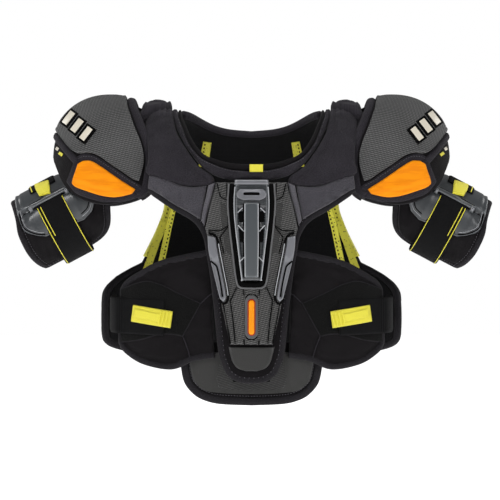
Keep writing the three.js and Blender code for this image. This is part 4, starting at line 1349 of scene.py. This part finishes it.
def arm_rivets(name):
    at = lambda u, r: arm(np.array(u), np.array(-63.0), np.array(r))
    return join(name, [rivet(name, at(u, 64.8), at(u, 64.8) - at(u, 1.0), 3.0, 2.2) for u in (-31.0, 30.0)])


on_arm(arm_rivets, "bicep_rivets", "silver")

# ---------------------------------------------------------------- waist
wing_a = smooth(fronts((62, -199), (117, -210), (143, -218), (163, -228), (187, -243), (196, -255)), 8)
wing_b = smooth(fronts((56, -352), (75, -355), (93, -359), (122, -370), (163, -363), (190, -347), (199, -334)),
                8)
wing_loop = np.concatenate([wing_a, resample([wing_a[-1], wing_b[-1]], np.linspace(0, 1, 10))[1:-1],
                            wing_b[::-1]])
seams = [fronts((76, -275), (62, -262), (50, -258)), fronts((103, -324), (96, -342), (92, -356))]
wing_grooves = [(line, 1.8, 1.6) for line in seams]
wing_grooves += [(fronts((135, -246), (133, -228), (138, -216)), 1.8, 1.2), (shifted(wing_loop, -9), 1.8, 1.4)]
pads("side_wing", wing_a, wing_b, -9, -1, "black", "wing_{}", "side_wing", soft=0.7, edge=4, step=4, crown=1.0,
     wrinkle=0.6, foot=0.45, puff=1.4, grooves=wing_grooves)
two(lambda n: cord(n, wing_loop, -4.6, 10, 10.5, 12, square=2.5), "wing_binding", "binding", "wing_{}")
two(lambda n: cords(n, [smooth(line, 5) for line in seams], 0.4, 1.6, 1.4, step=2), "wing_seam", "charcoal",
    "wing_{}")
patch_a = smooth(fronts((76, -275), (107, -261), (135, -247), (160, -242), (196, -254)), 8, (1, 2))
patch_b = smooth(fronts((103, -324), (120, -321), (140, -322), (168, -330), (197, -334)), 8)
pads("loop_patch", patch_a, patch_b, -0.6, 3.0, "loop", "wing_{}", soft=0.2, edge=1.8, step=3.5, wrinkle=0.35,
     foot=0.35)
patch_edge = np.concatenate([patch_a, patch_b[::-1], patch_a[:1]])
two(lambda n: cord(n, patch_edge, 1.6, 1.4, 1.8, step=2), "patch_edge", "binding", "wing_{}")


def waist_path(xs, offset, extra=()):
    """Plan of a strap over the wing at the given x, and on through extra (x, y) points."""
    p = [tuple(body(float(x), -reach(-298), offset)[:2]) for x in xs]
    return smooth(p + list(extra), 12)


def waist_ribbon(name, plan, top, bottom, thick):
    """Flat webbing along a plan; top and bottom are its heights at both ends."""
    n = len(plan)
    high, low = np.linspace(*top, n), np.linspace(*bottom, n)
    p = np.concatenate([plan, ((high + low) / 2)[:, None]], 1)
    t = np.gradient(plan, axis=0)
    up = np.stack([t[:, 1], -t[:, 0], np.zeros(n)], -1)
    return sweep(name, p, up, strap_profile(float(np.mean(high - low)), thick))


waist_plan = waist_path((130, 150, 170, 188), 4.6, [(205, -71), (213, -45), (214, 0), (208.5, 44)])
two(lambda n: waist_ribbon(n, waist_plan, (-270, -263), (-323, -318), 2.6), "waist_strap", "webbing",
    "waist_{}",
    "waist_strap", flat_side)
two(lambda n: waist_ribbon(n, waist_path((118, 148, 176), 7.2), (-287, -277), (-312, -303), 1.8),
    "waist_pull_tab", "yellow", "waist_{}", "waist_pull_tab", flat_side)
two(lambda n: waist_ribbon(n, waist_path((136, 155, 172), 9.2), (-291, -283), (-303, -295), 0.8),
    "waist_tab_mark", "yellow", "waist_{}", flat=flat_side)
for k, x in enumerate((119, 124, 129, 134)):
    two(lambda n: waist_ribbon(n, waist_path((x, x + 1, x + 2), 8.4), (k - 287.5, k - 287),
                               (k - 311, k - 310.5), 2.2),
        f"waist_tab_ridge_{k}", "yellow", "waist_{}", flat=flat_side)

# ---------------------------------------------------------------- belly
belly_line = smooth(fronts((58, -334), (92, -345), (101, -354), (98, -370), (94, -394), (85, -406), (71, -413),
                           (46, -417), (10, -418)), 6)
mid("belly_pad", belly_line, -26, -14.5, "black", "belly", "belly_pad", soft=0.7, edge=4, step=5, crown=1,
    wrinkle=0.4)
skin_line = smooth(fronts((96, -349), (95, -368), (90, -390), (81, -401), (67, -408), (40, -411), (10, -412)),
                   6)


def belly_relief(q, du, dv):
    """Broad smooth facets either side, with a sunk field between them."""
    x, z = np.abs(q[..., 0]), height_of(q)
    facet = 2.4 / (1 + np.exp(-(x - np.interp(-z, [350, 405], [46, 58])) / 1.2))
    facet = facet / (1 + np.exp((x - np.interp(-z, [350, 405], [86, 78])) / 1.2))
    return facet - 0.72 * np.exp(-((x - 40) / 1.4) ** 2)


mid("belly_plate", skin_line, -14.5, -10, "tab_skin", "belly", "belly_plate", soft=0.9, edge=3, step=3,
    relief=belly_relief)
mesh_line = smooth(fronts((63, -361), (60, -372), (53, -392), (48, -403), (20, -406)), 6)
mid("belly_mesh", mesh_line, -12.6, -9.0, "plate_dark", "belly", edge=1.4, step=2.6, foot=0.4)
slot_line = fronts((28, -390.5), (28, -393.5))
mid("belly_slot", slot_line, -9.6, -8.2, "groove", "belly", edge=0.6, step=1.5, foot=0.2)
hem = smooth(fronts((106, -350), (103, -374), (98, -394), (85, -409), (70, -417), (47, -422), (0, -424)), 8)
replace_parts(binding("belly_binding", whole(hem), "belly", 12.5, 15, -18.5), "belly_binding")
piece(stitch_line("belly_stitch", whole(shifted(hem, -8.6)), -10.6), "thread_grey", "belly")
# ---------------------------------------------------------------- stage, lights and camera
FLOOR, FLOOR_SIZE = -0.56, 9.0
# The camera looks straight at the front plane, where the frame spans 500 pixels of 1.5 mm.
DISTANCE, FRONT_PLANE, SPAN, SENSOR = 4.9, -0.1, 0.75, 36
MIDDLE_X, MIDDLE_Z = -0.00225, -0.195


def stage_material():
    mat = bpy.data.materials.new("studio_white")
    mat.use_nodes = True
    tree = mat.node_tree
    bsdf = tree.nodes["Principled BSDF"]
    noise = tree.nodes.new("ShaderNodeTexNoise")
    noise.inputs["Scale"].default_value = 3.0
    ramp = tree.nodes.new("ShaderNodeValToRGB")
    ramp.color_ramp.elements[0].color = (0.93, 0.93, 0.93, 1)
    ramp.color_ramp.elements[1].color = (0.96, 0.96, 0.96, 1)
    tree.links.new(noise.outputs["Fac"], ramp.inputs[0])
    tree.links.new(ramp.outputs[0], bsdf.inputs["Base Color"])
    bsdf.inputs["Roughness"].default_value = 0.9
    bsdf.inputs["Emission Color"].default_value = (1, 1, 1, 1)
    bsdf.inputs["Emission Strength"].default_value = 0.95
    return mat


def studio_floor():
    """A pale floor, below the object and wide enough to be seen from every side."""
    ring = [(FLOOR_SIZE * math.cos(a), FLOOR_SIZE * math.sin(a), FLOOR)
            for a in np.linspace(0, 2 * math.pi, 64, endpoint=False)]
    mesh = bpy.data.meshes.new("studio_floor")
    mesh.from_pydata(ring, [], [list(range(64))])
    obj = bpy.data.objects.new("studio_floor", mesh)
    bpy.context.scene.collection.objects.link(obj)
    mesh.materials.append(stage_material())


def studio_air(backdrop, air):
    """White behind the object, and dimmer as a light on it."""
    bpy.context.scene.world = bpy.data.worlds.new("studio_air")
    bpy.context.scene.world.use_nodes = True
    tree = bpy.context.scene.world.node_tree
    seen, lit = tree.nodes["Background"], tree.nodes.new("ShaderNodeBackground")
    for node, strength in ((seen, backdrop), (lit, air)):
        node.inputs["Color"].default_value = (1, 1, 1, 1)
        node.inputs["Strength"].default_value = strength
    path, mix = tree.nodes.new("ShaderNodeLightPath"), tree.nodes.new("ShaderNodeMixShader")
    tree.links.new(path.outputs["Is Camera Ray"], mix.inputs[0])
    tree.links.new(lit.outputs[0], mix.inputs[1])
    tree.links.new(seen.outputs[0], mix.inputs[2])
    tree.links.new(mix.outputs[0], tree.nodes["World Output"].inputs["Surface"])


def lamp(name, place, size, power):
    """A round soft lamp that points at the middle of the object."""
    data = bpy.data.lights.new(name, "AREA")
    data.shape, data.size, data.energy = "DISK", size, power
    obj = bpy.data.objects.new(name, data)
    obj.location = place
    obj.rotation_euler = (Vector((0, 0, -0.19)) - Vector(place)).to_track_quat("-Z", "Y").to_euler()
    bpy.context.scene.collection.objects.link(obj)


studio_floor()
studio_air(1.0, 0.22)
lamp("key", (-1.5, -2.6, 2.0), 1.1, 44)
lamp("fill", (2.0, -2.6, 1.2), 1.5, 22)
lamp("top", (0.0, -0.3, 2.4), 1.0, 26)
lamp("rim_left", (2.2, 1.4, 1.0), 1.0, 16)
lamp("rim_right", (-2.2, 1.4, 1.0), 1.0, 16)
bpy.context.scene.view_settings.view_transform = "Standard"

camera = bpy.data.cameras.new("camera")
camera.sensor_width = SENSOR
camera.lens = SENSOR * DISTANCE / SPAN
camera.clip_end = 50
eye = bpy.data.objects.new("camera", camera)
eye.location = (MIDDLE_X, FRONT_PLANE - DISTANCE, MIDDLE_Z)
eye.rotation_euler = (math.pi / 2, 0, 0)
bpy.context.scene.collection.objects.link(eye)
bpy.context.scene.camera = eye
